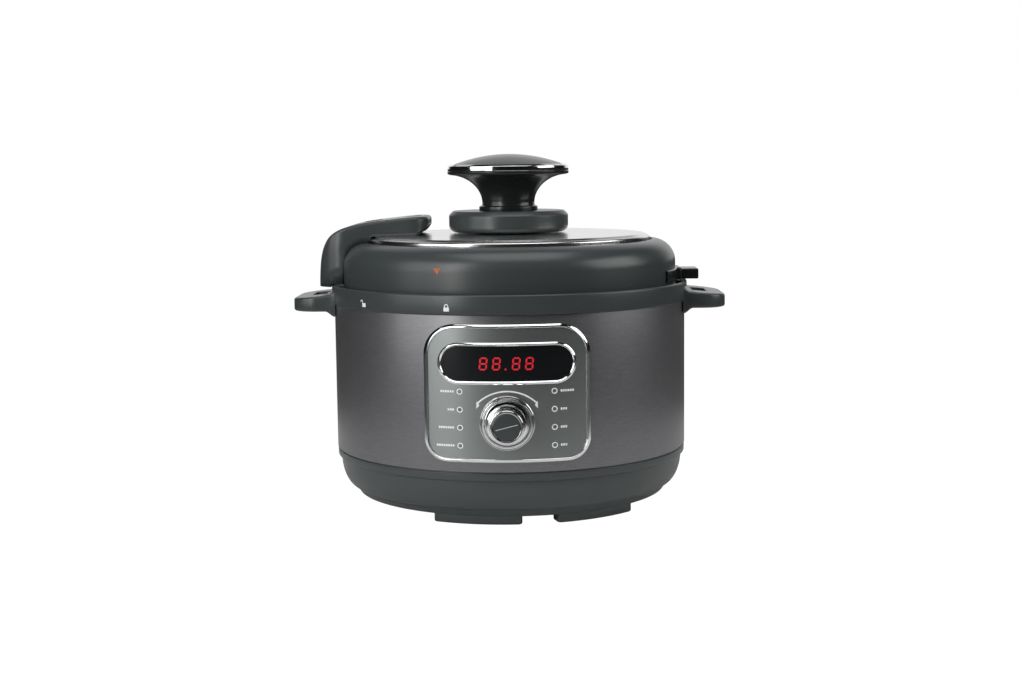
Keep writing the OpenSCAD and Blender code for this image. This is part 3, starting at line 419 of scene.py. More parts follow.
def box_distance(u, v, u0, u1, half, r0, r1):
    """Signed distance to a rectangle from u0 to u1 and half each side of v = 0, with corner radii"""
    middle = (u0 + u1) / 2
    radius = r0 if u < middle else r1
    across = abs(u - middle) - (u1 - u0) / 2 + radius
    along = abs(v) - half + radius
    return min(max(across, along), 0) + hypot(max(across, 0), max(along, 0)) - radius


def ring_at(distance, centre, level, count=AROUND):
    """Ring of points seen from a centre at which a signed distance reaches a level"""
    points = []
    for i in range(count):
        angle = 2 * pi * i / count
        near, far = 0.0, 260.0
        while far - near > 1e-4:
            reach = (near + far) / 2
            u, v = centre[0] + reach * cos(angle), centre[1] + reach * sin(angle)
            near, far = (reach, far) if distance(u, v) < level else (near, reach)
        points.append((centre[0] + near * cos(angle), centre[1] + near * sin(angle)))
    return points


def between(first, second, share):
    """Points part of the way from one ring to another"""
    return [(a[0] + (b[0] - a[0]) * share, a[1] + (b[1] - a[1]) * share)
            for a, b in zip(first, second)]


def raised(ring, height):
    """Gives a flat ring its heights, by a number or a function of the place"""
    return [(x, y, height(x, y) if callable(height) else height) for x, y in ring]


def on_wall(x, z, radius):
    """Point of the round wall in front of the body's axis"""
    return (x, -sqrt(radius ** 2 - x ** 2), z)


def round_wall(x, z, radius, azimuth):
    """Point reached by going x along a round wall from an azimuth"""
    turn = radians(azimuth) + x / radius
    return (radius * sin(turn), -radius * cos(turn), z)


def arc(cx, cz, radius, start, end, steps):
    return [(cx + radius * cos(radians(start + (end - start) * k / steps)),
             cz + radius * sin(radians(start + (end - start) * k / steps))) for k in range(steps + 1)]


def plaque(w, h, r_top, r_low, z0, inset, steps=14, straight=18):
    """Outline of a plate with round corners, drawn in by an inset, with points along its sides"""
    corners = arc(w / 2 - r_low, z0 + r_low, r_low - inset, -90, 0, steps)
    corners += arc(w / 2 - r_top, z0 + h - r_top, r_top - inset, 0, 90, steps)
    corners += arc(-w / 2 + r_top, z0 + h - r_top, r_top - inset, 90, 180, steps)
    corners += arc(-w / 2 + r_low, z0 + r_low, r_low - inset, 180, 270, steps)
    outline = []
    for i, (x, z) in enumerate(corners):
        outline.append((x, z))
        if i % (steps + 1) == steps:
            nx, nz = corners[(i + 1) % len(corners)]
            outline += [(x + (nx - x) * k / straight, z + (nz - z) * k / straight)
                        for k in range(1, straight)]
    return outline


def soft_block(mesh, corner, opposite, radius, steps=3):
    """A block between two corners, with all its edges rounded"""
    size = Vector(opposite) - Vector(corner)
    middle = (Vector(opposite) + Vector(corner)) / 2
    made = bmesh.ops.create_cube(mesh, matrix=Matrix.Translation(middle) @ Matrix.Diagonal((*size, 1)))
    edges = list({edge for vert in made["verts"] for edge in vert.link_edges})
    bmesh.ops.bevel(mesh, geom=edges, offset=radius, segments=steps, profile=0.5, affect="EDGES")


def carved(mesh, cutter):
    """The first closed mesh with the second taken out of it"""
    held = []
    for part in (mesh, cutter):
        bmesh.ops.remove_doubles(part, verts=part.verts, dist=0.004)
        bmesh.ops.recalc_face_normals(part, faces=part.faces)
        data = bpy.data.meshes.new("carving")
        part.to_mesh(data)
        part.free()
        held.append(bpy.data.objects.new("carving", data))
        bpy.context.scene.collection.objects.link(held[-1])
    modifier = held[0].modifiers.new("cut", "BOOLEAN")
    modifier.operation, modifier.solver, modifier.object = "DIFFERENCE", "EXACT", held[1]
    settle(held[0])
    result = bmesh.new()
    result.from_mesh(held[0].data)
    for part in held:
        bpy.data.objects.remove(part)
    return result


def merge(mesh, other):
    """Adds a second mesh to the first"""
    data = bpy.data.meshes.new("merging")
    other.to_mesh(data)
    other.free()
    mesh.from_mesh(data)
    bpy.data.meshes.remove(data)


def settle(target):
    """Applies a piece's modifiers to its mesh"""
    seen = target.evaluated_get(bpy.context.evaluated_depsgraph_get())
    data = bpy.data.meshes.new_from_object(seen)
    target.modifiers.clear()
    target.data = data


# ---------------------------------------------------------------- base

def base_profile():
    """Half section of the base: seam, band, bowl and the step above the feet"""
    band = SEAM_Z - 7.5
    foot_r, foot_h = BODY_R - 17.5, 7
    swell, depth = 12, band - foot_h - 5.5
    bowl = [(BODY_R - 3 - swell + swell * cos(radians(a)), band - depth * sin(radians(a)))
            for a in range(0, 76, 5)]
    inside = [(r - 2.5 - 0.8 * i / 15, z + 2.2 * i / 15) for i, (r, z) in enumerate(bowl[:-3])]
    outer = rounded([(BODY_R - 3.4, SEAM_Z + 6, 0.5), (BODY_R - 1, SEAM_Z + 6, 0.4),
                     (BODY_R - 1, SEAM_Z - 0.8, 0.1), (BODY_R - 0.25, SEAM_Z - 0.9, 0.3),
                     (BODY_R - 0.4, band + 1.2, 0.5), (BODY_R - 1.7, band, 0.3)])
    step = rounded([(foot_r + 3.6, foot_h + 5.8, 0), (foot_r + 3.4, foot_h + 5.4, 0.3),
                    (foot_r, foot_h, 0.7), (BODY_R - 33, foot_h, 0.3), (BODY_R - 33, foot_h + 2, 0),
                    (BODY_R - 41, foot_h + 2, 0.3), (BODY_R - 41, foot_h + 4.5, 0.3),
                    (foot_r - 2.5, foot_h + 4.5, 0)])
    return outer + bowl + step + list(reversed(inside))


def foot(mesh, azimuth, span):
    """One moulded foot, with round corners and a rounded lower edge"""
    outer, inner = BODY_R - 18, BODY_R - 32.2
    middle = (outer + inner) / 2
    half = radians(span / 2) * middle
    def distance(u, v):
        return box_distance(u, v, inner, outer, half, 2.5, 2.5)
    loops = []
    for level, z in ((0, 8.2), (0, 1.7), (-0.3, 0.8), (-0.9, 0.3), (-4, 0.3)):
        ring = ring_at(distance, (middle, 0), level, 96)
        turn = radians(azimuth - 90)
        loops.append([(r * cos(turn + s / middle), r * sin(turn + s / middle), z) for r, s in ring])
    lofted(mesh, loops, capped=True)


def base_housing():
    inlet_low, inlet_high = low("power_inlet"), high("power_inlet")
    boss = bmesh.new()
    soft_block(boss, (inlet_low.x - 3, BODY_R - 12, inlet_low.z - 1.5),
               (inlet_high.x + 3, BODY_R - 1.6, inlet_high.z + 0.8), 1.2)
    def pocket(inwards):
        mesh = bmesh.new()
        soft_block(mesh, (inlet_low.x - 0.2, BODY_R - inwards, inlet_low.z - 0.2),
                   (inlet_high.x + 0.2, BODY_R + 5, inlet_high.z + 0.2), 0.4, 1)
        return mesh
    mesh = carved(turned(base_profile()), pocket(30))
    merge(mesh, carved(boss, pocket(13)))
    for turn in FOOT_TURNS:
        foot(mesh, turn, 32.5)
    piece("base_shell", mesh, "base", "housing_plastic", ["base_housing"])


def foot_pads():
    """Rubber pads let into the feet, a little crowned"""
    outer, inner = BODY_R - 21, BODY_R - 29.5
    middle = (outer + inner) / 2
    mesh = bmesh.new()
    for azimuth in FOOT_TURNS:
        turn = radians(azimuth - 90)
        def distance(u, v):
            return box_distance(u, v, inner, outer, radians(12.2) * middle, 2, 2)
        loops = []
        for level, z in ((0, 1.4), (0, 0.5), (-0.25, 0.15), (-0.8, 0.0), (-2, 0.0)):
            ring = ring_at(distance, (middle, 0), level, 64)
            loops.append([(r * cos(turn + s / middle), r * sin(turn + s / middle), z) for r, s in ring])
        lofted(mesh, loops, capped=True)
    piece("rubber_pads", mesh, "base", "pad_rubber", ["foot_pads"])


def body_sleeve():
    """Painted steel sleeve with its edges turned in"""
    wall = 0.8
    outline = rounded([(BODY_R, SEAM_Z + 0.1, 0.5), (BODY_R, RING_Z - 0.1, 0.5),
                       (BODY_R - wall, RING_Z - 0.1, 0.2), (BODY_R - wall, SEAM_Z + 0.1, 0.2)], 4)
    piece("sleeve", turned(outline), "base", "pearl_paint", ["body_sleeve"])


# ---------------------------------------------------------------- rim ring and handles

def rim_band(mesh):
    """The ring round the top of the sleeve, with the channel that the lid turns in"""
    spigot, shelf, pocket, deck = BODY_R - 1, RING_TOP - 16, BODY_R - 15.5, RING_TOP - 4
    outline = rounded([
        (RING_R - 3.5, RING_TOP, 0.7), (RING_R, RING_TOP, 1.4), (RING_R, RING_Z + 0.1, 0.6),
        (spigot, RING_Z + 0.1, 0.2), (spigot, RING_Z - 6, 0.4), (spigot - 2.5, RING_Z - 6, 0.4),
        (spigot - 2.5, shelf, 0.5), (BODY_R - 24.5, shelf, 0.4), (BODY_R - 24.5, shelf + 2.5, 0.4),
        (pocket, shelf + 2.5, 0.3), (pocket, deck, 0.6), (RING_R - 3.5, deck, 0.5)])
    lofted(mesh, circles(outline), closed=True)


def handle(mesh, side):
    """A handle with a slot through it, filleted into the ring above and below"""
    half = 38
    slot_x = BODY_R + 12
    def top(x, y):
        root = max(0, 1 - (hypot(x, y) - RING_R + 0.5) / 4.5)
        return HANDLE_TOP - 3 * (x - BODY_R + 3) / (HANDLE_TIP - BODY_R) + 4.6 * root * root
    def under(x, y):
        drop = min(max((BODY_R + 4.5 - x) / 8, 0), 1)
        return HANDLE_LOW - 4.5 * drop * drop * (3 - 2 * drop)
    def plan(u, v):
        return max(box_distance(u, v, BODY_R - 15, HANDLE_TIP, half, 1, 20), BODY_R + 0.4 - hypot(u, v))
    def slot(u, v):
        return box_distance(u, v, slot_x - 6, slot_x + 6, 15, 3, 3)
    centre = (slot_x, 0)
    edge = 1.8
    outer = {level: ring_at(plan, centre, -level) for level in (0, 0.25, 0.9, edge)}
    inner = {level: ring_at(slot, centre, level) for level in (0, 0.3, 1.0)}
    shares = (0.04, 0.1, 0.18, 0.28, 0.4, 0.55, 0.75, 0.9)
    def shifted(height, by):
        return lambda x, y: height(x, y) + by
    loops = [raised(outer[0], shifted(under, edge)), raised(outer[0], shifted(top, -edge)),
             raised(outer[0.25], shifted(top, -0.9)), raised(outer[0.9], shifted(top, -0.25)),
             raised(outer[edge], top)]
    loops += [raised(between(outer[edge], inner[1.0], k), top) for k in shares]
    loops += [raised(inner[1.0], top), raised(inner[0.3], shifted(top, -0.3)),
              raised(inner[0], shifted(top, -1.0)), raised(inner[0], shifted(under, 1.0)),
              raised(inner[0.3], shifted(under, 0.3)), raised(inner[1.0], under)]
    loops += [raised(between(outer[edge], inner[1.0], k), under) for k in reversed(shares)]
    loops += [raised(outer[edge], under), raised(outer[0.9], shifted(under, 0.25)),
              raised(outer[0.25], shifted(under, 0.9))]
    lofted(mesh, [[(side * x, y, z) for x, y, z in loop] for loop in loops], closed=True)


def rim_ring():
    mesh = bmesh.new()
    rim_band(mesh)
    handle(mesh, 1)
    handle(mesh, -1)
    piece("rim_with_handles", mesh, "base", "housing_plastic", ["rim_ring"])


# ---------------------------------------------------------------- control panel

def wall_trim(name, shape, section, base_r, body, replaced):
    """A trim swept round a plate's outline: section is (inset, height over the wall)"""
    loops = [[on_wall(x, z, base_r + height) for x, z in plaque(*shape, inset)]
             for inset, height in section]
    return piece(name, lofted(bmesh.new(), loops, closed=True), body, "chrome_trim", replaced)


def panel_frame():
    frame_shape = (PANEL_W, PANEL_H, 24, 17, PANEL_Z)
    section = rounded([(0, 0.05, 0), (0, 0.8, 0.3), (0.7, 1.5, 0.9), (1.6, 2.1, 0.9), (2.5, 2.45, 0.3),
                       (2.95, 2.1, 0.3), (3.0, 0.05, 0)], 3)
    wall_trim("panel_trim", frame_shape, section, BODY_R, "base", ["panel_frame"])
    window_shape = (WINDOW_W, WINDOW_H, WINDOW_H / 2 - 0.02, WINDOW_H / 2 - 0.02, WINDOW_Z)
    section = rounded([(0, 0.02, 0), (0, 0.2, 0.1), (1.1, 0.95, 0.3), (1.5, 0.95, 0.3),
                       (2.6, -0.2, 0.2), (2.6, -0.6, 0)], 3)
    wall_trim("window_trim", window_shape, section, FASCIA_R, "base", ["display_bezel"])


def panel_fascia():
    """The painted plate: a ring of surface between the frame and the window"""
    centre = (0, WINDOW_Z + WINDOW_H / 2)
    def plate(u, v):
        return box_distance(v, u, PANEL_Z, PANEL_Z + PANEL_H, PANEL_W / 2, 17, 24)
    def window(u, v):
        return box_distance(v, u, WINDOW_Z, WINDOW_Z + WINDOW_H, WINDOW_W / 2,
                            WINDOW_H / 2 - 0.02, WINDOW_H / 2 - 0.02)
    outer, inner = ring_at(plate, centre, -2.98, 360), ring_at(window, centre, -1.6, 360)
    loops = [[on_wall(x, z, FASCIA_R) for x, z in between(outer, inner, k / 16)] for k in range(17)]
    loops += [[on_wall(x, z, BODY_R + 0.1) for x, z in between(inner, outer, k)] for k in (0, 1)]
    mesh = lofted(bmesh.new(), loops, closed=True)
    piece("fascia_plate", mesh, "base", "fascia", ["panel_fascia"])


def display_window():
    """Smoked window, faintly crowned"""
    shape = (WINDOW_W, WINDOW_H, WINDOW_H / 2 - 0.02, WINDOW_H / 2 - 0.02, WINDOW_Z)
    middle = WINDOW_Z + WINDOW_H / 2
    rim = plaque(*shape, 2.3)
    loops = [[on_wall(x, z, FASCIA_R - 1.1) for x, z in rim]]
    for share in [k / 10 for k in range(11)]:
        loops.append([on_wall(x, middle + (z - middle) * (1 - share), FASCIA_R - 0.12) for x, z in rim])
    piece("window_pane", lofted(bmesh.new(), loops), "base", "window", ["display_window"])


def mark(mesh, outline, place):
    """One flat mark: its outline's points put where a function says"""
    mesh.faces.new([mesh.verts.new(place(x, z)) for x, z in outline])


def band_mark(mesh, outer, inner, place):
    """A ring-shaped or open band between two lines of points"""
    rows = [[mesh.verts.new(place(x, z)) for x, z in line] for line in (outer, inner)]
    for i in range(len(outer) - 1):
        mesh.faces.new((rows[0][i], rows[0][i + 1], rows[1][i + 1], rows[1][i]))


def display_digits():
    """Four seven-segment figures and a point, leaning a little"""
    mesh = bmesh.new()
    middle = WINDOW_Z + WINDOW_H / 2
    width, height, stroke, lean = 6.2, 9.8, 1.25, 0.10
    gap = 0.22
    def place_at(cx):
        return lambda x, z: on_wall(cx + x + lean * z, middle + z, FASCIA_R - 0.06)
    def bar(cx, x0, z0, x1, z1):
        """A segment with pointed ends between two corners of the figure"""
        length = hypot(x1 - x0, z1 - z0)
        ux, uz = (x1 - x0) / length, (z1 - z0) / length
        half = stroke / 2
        points = [(gap, 0), (gap + half, half), (length - gap - half, half), (length - gap, 0),
                  (length - gap - half, -half), (gap + half, -half)]
        mark(mesh, [(x0 + ux * a - uz * b, z0 + uz * a + ux * b) for a, b in points], place_at(cx))
    w, h = (width - stroke) / 2, (height - stroke) / 2
    for cx in (-17.5, -7.6, 7.2, 17.1):
        for z in (-h, 0, h):
            bar(cx, -w, z, w, z)
        for x in (-w, w):
            bar(cx, x, -h, x, 0)
            bar(cx, x, 0, x, h)
    mark(mesh, arc(0, -h + 0.1, 0.75, 0, 345, 23), place_at(-0.4))
    piece("display_figures", mesh, "base", "light_pipe", material=RED_GLOW)


def panel_prints():
    """Rings round the lights, a short bar beside each, and the arrow over the dial"""
    mesh = bmesh.new()
    place = lambda x, z: on_wall(x, z, FASCIA_R + 0.06)
    pitch = 13.7
    for side in (-1, 1):
        for i in range(4):
            cx, cz = side * 35.6, DIAL_Z - 17.7 + i * pitch
            band_mark(mesh, arc(cx, cz, 2.25, 0, 360, 32), arc(cx, cz, 1.5, 0, 360, 32), place)
            dashes = (8, 7, 3, 6)[i] if side < 0 else (3, 3, 3, 6)[i]
            for k in range(dashes):
                x = cx + side * (4.5 + 1.75 * k)
                band_mark(mesh, [(x, cz + 0.85), (x + side * 1.3, cz + 0.85)],
                          [(x, cz - 0.85), (x + side * 1.3, cz - 0.85)], place)
    sweep, radius, centre = 46, 31.5, DIAL_Z - 7.9
    band_mark(mesh, arc(0, centre, radius + 0.75, 90 - sweep, 90 + sweep, 40),
              arc(0, centre, radius - 0.35, 90 - sweep, 90 + sweep, 40), place)
    for side in (-1, 1):
        ends = []
        for turn, reach in ((sweep - 3, 1.9), (sweep + 5.5, -1.9), (sweep - 1.5, -1.9)):
            angle = radians(90 - side * turn)
            ends.append(((radius + reach) * cos(angle), centre + (radius + reach) * sin(angle)))
        mark(mesh, ends, place)
    piece("panel_prints", mesh, "base", "light_pipe", material=WHITE_INK_PAINTED_GLOW)


# ---------------------------------------------------------------- dial

def at_dial(mesh):
    """Turns a mesh that stands on Z so that it points out of the panel"""
    bmesh.ops.rotate(mesh, matrix=Matrix.Rotation(pi / 2, 3, "X"), verts=mesh.verts)
    bmesh.ops.translate(mesh, vec=(0, 0, DIAL_Z), verts=mesh.verts)
    return mesh


def dial_ring():
    """Fixed chrome ring with a groove round its face"""
    front = FASCIA_R + 3.3
    outline = rounded([(21, BODY_R - 4, 0), (21, front - 1.4, 0.6), (20.4, front - 0.5, 0.4),
                       (20.1, front - 0.5, 0.1), (19.8, front - 1.3, 0.1), (19.4, front - 1.3, 0.1),
                       (19.1, front - 0.1, 0.3), (18.2, front, 0.4), (17.6, front - 1.0, 0.3),
                       (17.6, BODY_R - 4, 0)], 3)
    mesh = turned(outline, closed=True, count=160)
    piece("dial_surround", at_dial(mesh), "base", "chrome_trim", ["dial_bezel"])


def dial_knob():
    """Chrome dial: a sloping flange, a knurled grip, a polished lip and a well for the button"""
    back, front = BODY_R + 0.8, DIAL_OUT
    teeth, count = 72, 576
    outline = rounded([(3, back, 0), (17.2, back, 0.4), (17.2, back + 2.2, 0.5), (16.5, back + 2.5, 0.2),
                       (16.2, back + 2.1, 0.1), (14.2, back + 2.6, 0.2), (14.0, back + 3.4, 0.1)], 3)
    grip = [(13.8 - 0.6 * k / 8, back + 4.0 + (front - back - 6.4) * k / 8) for k in range(9)]
    lip = rounded([(12.9, front - 2.2, 0.2), (12.4, front, 0.9), (10.5, front - 0.1, 0.3),
                   (10.3, front - 5.8, 0), (3, front - 5.8, 0)], 4)
    def knurl(a):
        return 0.3 * (abs(sin(a * teeth / 2)) ** 0.7 - 0.6)
    loops = circles(outline, count) + circles(grip, count, knurl) + circles(lip, count)
    mesh = lofted(bmesh.new(), loops, closed=True)
    piece("dial_grip", at_dial(mesh), "dial", "chrome_trim", ["dial_knob"], crisp=40)


def select_button():
    """Push button in the dial, with a thin raised line across its face"""
    face = DIAL_OUT - 0.15
    outline = rounded([(0, face - 3.6, 0), (10.1, face - 3.6, 0.3), (10.1, face - 0.3, 0.5),
                       (9.5, face + 0.1, 0.3), (0, face + 0.1, 0)], 4)
    mesh = turned(outline, closed=False, count=128)
    shaft = [(1.5, face - 3.7), (1.5, BODY_R - 11), (0, BODY_R - 11)]
    lofted(mesh, circles(shaft, 48))
    piece("push_button", at_dial(mesh), "dial_push", "housing_plastic", ["select_button"])
    line = bmesh.new()
    tilt = radians(14)
    corners = ((-8.4, -0.16), (8.4, -0.16), (8.4, 0.16), (-8.4, 0.16))
    line.faces.new([line.verts.new((x * cos(tilt) - z * sin(tilt), -face - 0.16,
                                    DIAL_Z + x * sin(tilt) + z * cos(tilt))) for x, z in corners])
    piece("button_line", line, "dial_push", "light_pipe", material=WHITE_INK_PAINTED_GLOW)


# ---------------------------------------------------------------- lid

def shoulder(inset):
    """Points of the lid's round shoulder, drawn in by an inset"""
    top_r, rise = LID_R - 18, 18 * 1.02
    return [(top_r + (18 - inset) * cos(radians(a)), LID_TOP - rise + (rise - inset) * sin(radians(a)))
            for a in range(0, 91, 6)]


def under_hood(base, top):
    """The block cut out of the lid below the hood"""
    mesh = bmesh.new()
    soft_block(mesh, (-LID_R + 17.5, -22, base), (-HOOD_TIP - 8, 22, top), 2, 2)
    return mesh


def lid_cover():
    """Lid moulding: straight wall, round shoulder, a groove and the deck under the plate"""
    groove, deck_z, deck_r = LID_TOP - 2, PLATE_TOP - 4.8, PLATE_R - 7
    lip = rounded([(LID_R - 2.5, LID_Z, 0.4), (LID_R, LID_Z, 0.7), (LID_R, LID_Z + 6, 0)], 4)
    rim = rounded([(LID_R - 18.4, LID_TOP, 0.35), (LID_R - 19, groove, 0.3), (deck_r + 1.5, groove, 0.3),
                   (deck_r, deck_z, 0.5), (0, deck_z, 0)], 4)
    inside = [(0, deck_z - 2.5), (deck_r - 1, deck_z - 2.5), (deck_r, groove - 2.5)]
    outline = lip + shoulder(0) + rim + inside + list(reversed(shoulder(2.5)))
    mesh = carved(turned(outline), under_hood(groove - 10, LID_TOP + 30))
    piece("lid_shell", mesh, "lid", "housing_plastic", ["lid_cover"])


def plate_height(reach):
    """Height of the steel disc's low crown at a distance from its middle"""
    edge = LID_TOP + 4.8
    return edge + (PLATE_TOP - edge) * (1 - min(reach / (PLATE_R - 2.2), 1) ** 2.4)


def lid_plate():
    """Steel disc: a low crown and a rounded edge that turns down into the groove"""
    radii = [(PLATE_R - 5) * (1 - k / 28) for k in range(29)]
    face = [(r, plate_height(r)) for r in radii]
    rim = rounded([(PLATE_R - 1, LID_TOP - 0.2, 0), (PLATE_R, LID_TOP, 0.3), (PLATE_R, LID_TOP + 2.4, 1.4),
                   (PLATE_R - 3.2, LID_TOP + 4.6, 3.0)], 6)
    back = [(r, z - 1) for r, z in reversed(face)]
    mesh = carved(turned(rim + face + back), under_hood(LID_TOP - 12, LID_TOP + 30))
    piece("steel_disc", mesh, "lid", "brushed_plate", ["lid_plate"])


def lid_prints():
    """The orange pointer on the lid"""
    mesh = bmesh.new()
    place = lambda x, z: round_wall(x, z, LID_R + 0.07, -22.2)
    mark(mesh, [(-2.9, LID_TOP - 14.8), (2.9, LID_TOP - 14.8), (0, LID_TOP - 19.9)], place)
    piece("lid_pointer", mesh, "lid", "light_pipe", material=ORANGE_INK)


def padlock(mesh, azimuth, is_open):
    """A padlock mark: a body with a keyhole and a shackle, shut or swung open"""
    base = RING_TOP - 12.2
    place = lambda x, z: round_wall(x, z, RING_R + 0.06, azimuth)
    mark(mesh, [(-2.2, base), (2.2, base), (2.2, base + 3.0), (-2.2, base + 3.0)], place)
    shift = -3.0 if is_open else 0
    outer = [(shift + 1.7, base + 3.0)] + arc(shift, base + 3.8, 1.7, 0, 180, 16)
    inner = [(shift + 1.05, base + 3.0)] + arc(shift, base + 3.8, 1.05, 0, 180, 16)
    if not is_open:
        outer.append((-1.7, base + 3.0))
        inner.append((-1.05, base + 3.0))
    band_mark(mesh, outer, inner, place)


def ring_prints():
    """Shut and open padlocks, where the pointer stands when the lid is locked and when it is free"""
    mesh = bmesh.new()
    padlock(mesh, -17.7, False)
    padlock(mesh, -49.0, True)
    piece("ring_prints", mesh, "base", "light_pipe", material=WHITE_INK_PAINTED_GLOW)


def lid_fin():
    """The fin that parks in a handle's slot, on a pad that follows the lid's wall"""
    node_low, node_high = low("lid_fin"), high("lid_fin")
    mesh = bmesh.new()
    top, foot_z = node_high.z, node_low.z
    soft_block(mesh, (LID_R - 1, node_low.y + 2, foot_z), (node_high.x, node_high.y - 2, foot_z + 8.4), 1.0)
    soft_block(mesh, (LID_R - 3.5, node_low.y, foot_z), (LID_R + 4.5, node_high.y, top), 1.4)
    angles = [radians(90 + a) for a in range(-24, 25)]
    section = rounded([(LID_R - 0.8, foot_z, 0), (LID_R + 1.7, foot_z, 0.5), (LID_R + 1.7, top, 0.8),
                       (LID_R - 0.8, top, 0)], 4)
    loops = [[(r * sin(a), -r * cos(a), z) for r, z in section] for a in angles]
    lofted(mesh, loops, capped=True)
    piece("parking_fin", mesh, "lid", "dark_plastic", ["lid_fin"])


# ---------------------------------------------------------------- knob

def knob():
    """Collar, grip, chrome band and domed cap"""
    r = COLLAR_R
    collar = rounded([(0, COLLAR_Z, 0), (26, COLLAR_Z, 0.4), (26, COLLAR_Z + 0.5, 0.2), (r, COLLAR_Z + 0.5, 5.5),
                      (r, GRIP_Z - 3.6, 0.9), (r - 1, GRIP_Z - 2.4, 0.8),
                      (r - 3.4, GRIP_Z - 0.1, 1.4), (24, GRIP_Z - 0.05, 0), (0, GRIP_Z - 0.05, 0)], 6)
    piece("grip_collar", turned(collar, closed=False), "lid", "housing_plastic", ["knob_collar"])
    waist = 21.6
    foot_part = rounded([(0, GRIP_Z, 0), (waist + 2.6, GRIP_Z, 0.4), (waist + 2.6, GRIP_Z + 3.4, 0.7),
                         (waist + 0.6, GRIP_Z + 4.2, 0.4)], 4)
    side = [(waist + (GRIP_R - waist) * (1 - cos(radians(a))),
             GRIP_Z + 6 + (GRIP_TOP - GRIP_Z - 9) * sin(radians(a))) for a in range(0, 86, 5)]
    top = rounded([(GRIP_R - 0.3, GRIP_TOP - 2.6, 0.8), (GRIP_R, GRIP_TOP - 0.3, 0.5),
                   (GRIP_R - 1, GRIP_TOP, 0.3), (GRIP_R - 5, GRIP_TOP, 0.2), (GRIP_R - 5, GRIP_TOP - 3, 0),
                   (0, GRIP_TOP - 3, 0)], 4)
    piece("grip_body", turned(foot_part + side + top, closed=False), "lid", "dark_plastic", ["knob_grip"])
    band = rounded([(GRIP_R - 5, GRIP_TOP + 0.05, 0.2), (GRIP_R - 0.2, GRIP_TOP + 0.05, 0.5),
                    (GRIP_R - 0.3, TRIM_TOP - 1.6, 0.6), (GRIP_R - 2.2, TRIM_TOP - 0.1, 0.5),
                    (GRIP_R - 5, TRIM_TOP, 0.3)], 4)
    piece("chrome_band", turned(band), "lid", "chrome_trim", ["knob_trim_ring"])
    cap_r = GRIP_R - 5.2
    rise = KNOB_TOP - TRIM_TOP
    dome = [(cap_r * cos(radians(a)), TRIM_TOP + rise * sin(radians(a)) ** 2) for a in range(6, 91, 4)]
    cap = [(0, GRIP_TOP - 2.9), (cap_r - 0.3, GRIP_TOP - 2.9), (cap_r, GRIP_TOP - 2), (cap_r, TRIM_TOP - 0.5)]
    piece("grip_cap", turned(cap + dome, closed=False), "lid", "dark_plastic", ["knob_cap"])


# ---------------------------------------------------------------- steam hood

def spine(count=14):
    """Side line of the hood from its outer foot to its tip: distance from its end, and height"""
    knots = [(0, HOOD_LOW), (0.5, RING_TOP + 6), (1.4, RING_TOP + 15), (3.0, RING_TOP + 24.5),
             (6.2, RING_TOP + 33), (11.0, RING_TOP + 39.5), (18, RING_TOP + 44.2), (27, RING_TOP + 47.4),
             (40, RING_TOP + 50.2), (60, RING_TOP + 52.6), (80, HOOD_TOP - 0.1), (94, HOOD_TOP)]
    line = []
    for i in range(len(knots) - 1):
        p0, p1, p2, p3 = (Vector(knots[min(max(k, 0), len(knots) - 1)]) for k in range(i - 1, i + 3))
        for k in range(count):
            t = k / count
            line.append(0.5 * (2 * p1 + (p2 - p0) * t + (2 * p0 - 5 * p1 + 4 * p2 - p3) * t * t
                               + (3 * p1 - p0 - 3 * p2 + p3) * t ** 3))
    return line + [Vector(knots[-1])]


SPINE = spine()


def hood_height(x):
    """Height of the hood's top at a distance along it"""
    along = x + HOOD_END
    for a, b in zip(SPINE, SPINE[1:]):
        if along <= b.x:
            share = (along - a.x) / max(b.x - a.x, 1e-6)
            return a.y + (b.y - a.y) * min(max(share, 0), 1)
    return SPINE[-1].y


def hood_bed(x, y):
    """Height of what the hood's lower edge stands over: rim, shoulder, plate, and the free tip"""
    reach = hypot(x, y)
    if reach > RING_R + 1.2:
        return HOOD_LOW
    if reach > LID_R + 0.3:
        return RING_TOP + 0.8
    top_r = LID_R - 18
    if reach > top_r:
        return LID_TOP - 18.36 + 18.6 * sqrt(max(0, 1 - ((reach - top_r) / 18.31) ** 2)) + 0.1
    if reach > PLATE_R:
        return LID_TOP + 0.4
    rise = min(max((x + HOOD_TIP + 10) / 10, 0), 1)
    return plate_height(reach) + 0.15 + 8 * rise * rise


def hood_plan(u, v):
    return box_distance(u, v, -HOOD_END, -HOOD_TIP, HOOD_HALF, 22, 16)


def hood_opening(u, v):
    return box_distance(u, v, BUTTON_X - 12, -HOOD_TIP - 5, HOOD_HALF - 6, 10, 10)


def steam_hood():
    centre = ((BUTTON_X - 12 - HOOD_TIP - 5) / 2, 0)
    edge = 2.6
    bends = [radians(a) for a in (0, 22, 45, 68, 90)]
    rims = [ring_at(hood_plan, centre, -edge * (1 - cos(a))) for a in bends]
    opening = ring_at(hood_opening, centre, 0.25)
    def over(drop):
        return lambda x, y: max(hood_height(x) - drop, hood_bed(x, y) + 0.05)
    loops = [raised(rims[0], hood_bed)]
    loops += [raised(rims[0], lambda x, y, s=s: hood_bed(x, y) * (1 - s) + over(edge)(x, y) * s)
              for s in (0.35, 0.7)]
    loops += [raised(rim, over(edge * (1 - sin(a)))) for rim, a in zip(rims, bends)]
    for share in (0.008, 0.02, 0.04, 0.07, 0.11, 0.16, 0.23, 0.32, 0.43, 0.56, 0.7, 0.85, 1):
        loops.append(raised(between(rims[-1], opening, share), over(0)))
    loops.append(raised(opening, over(1.4)))
    made = piece("hood_shell", lofted(bmesh.new(), loops), "lid", "housing_plastic", ["steam_hood"], crisp=50)
    shell = made.modifiers.new("wall", "SOLIDIFY")
    shell.thickness, shell.offset = 1.6 * MM, -1
    settle(made)


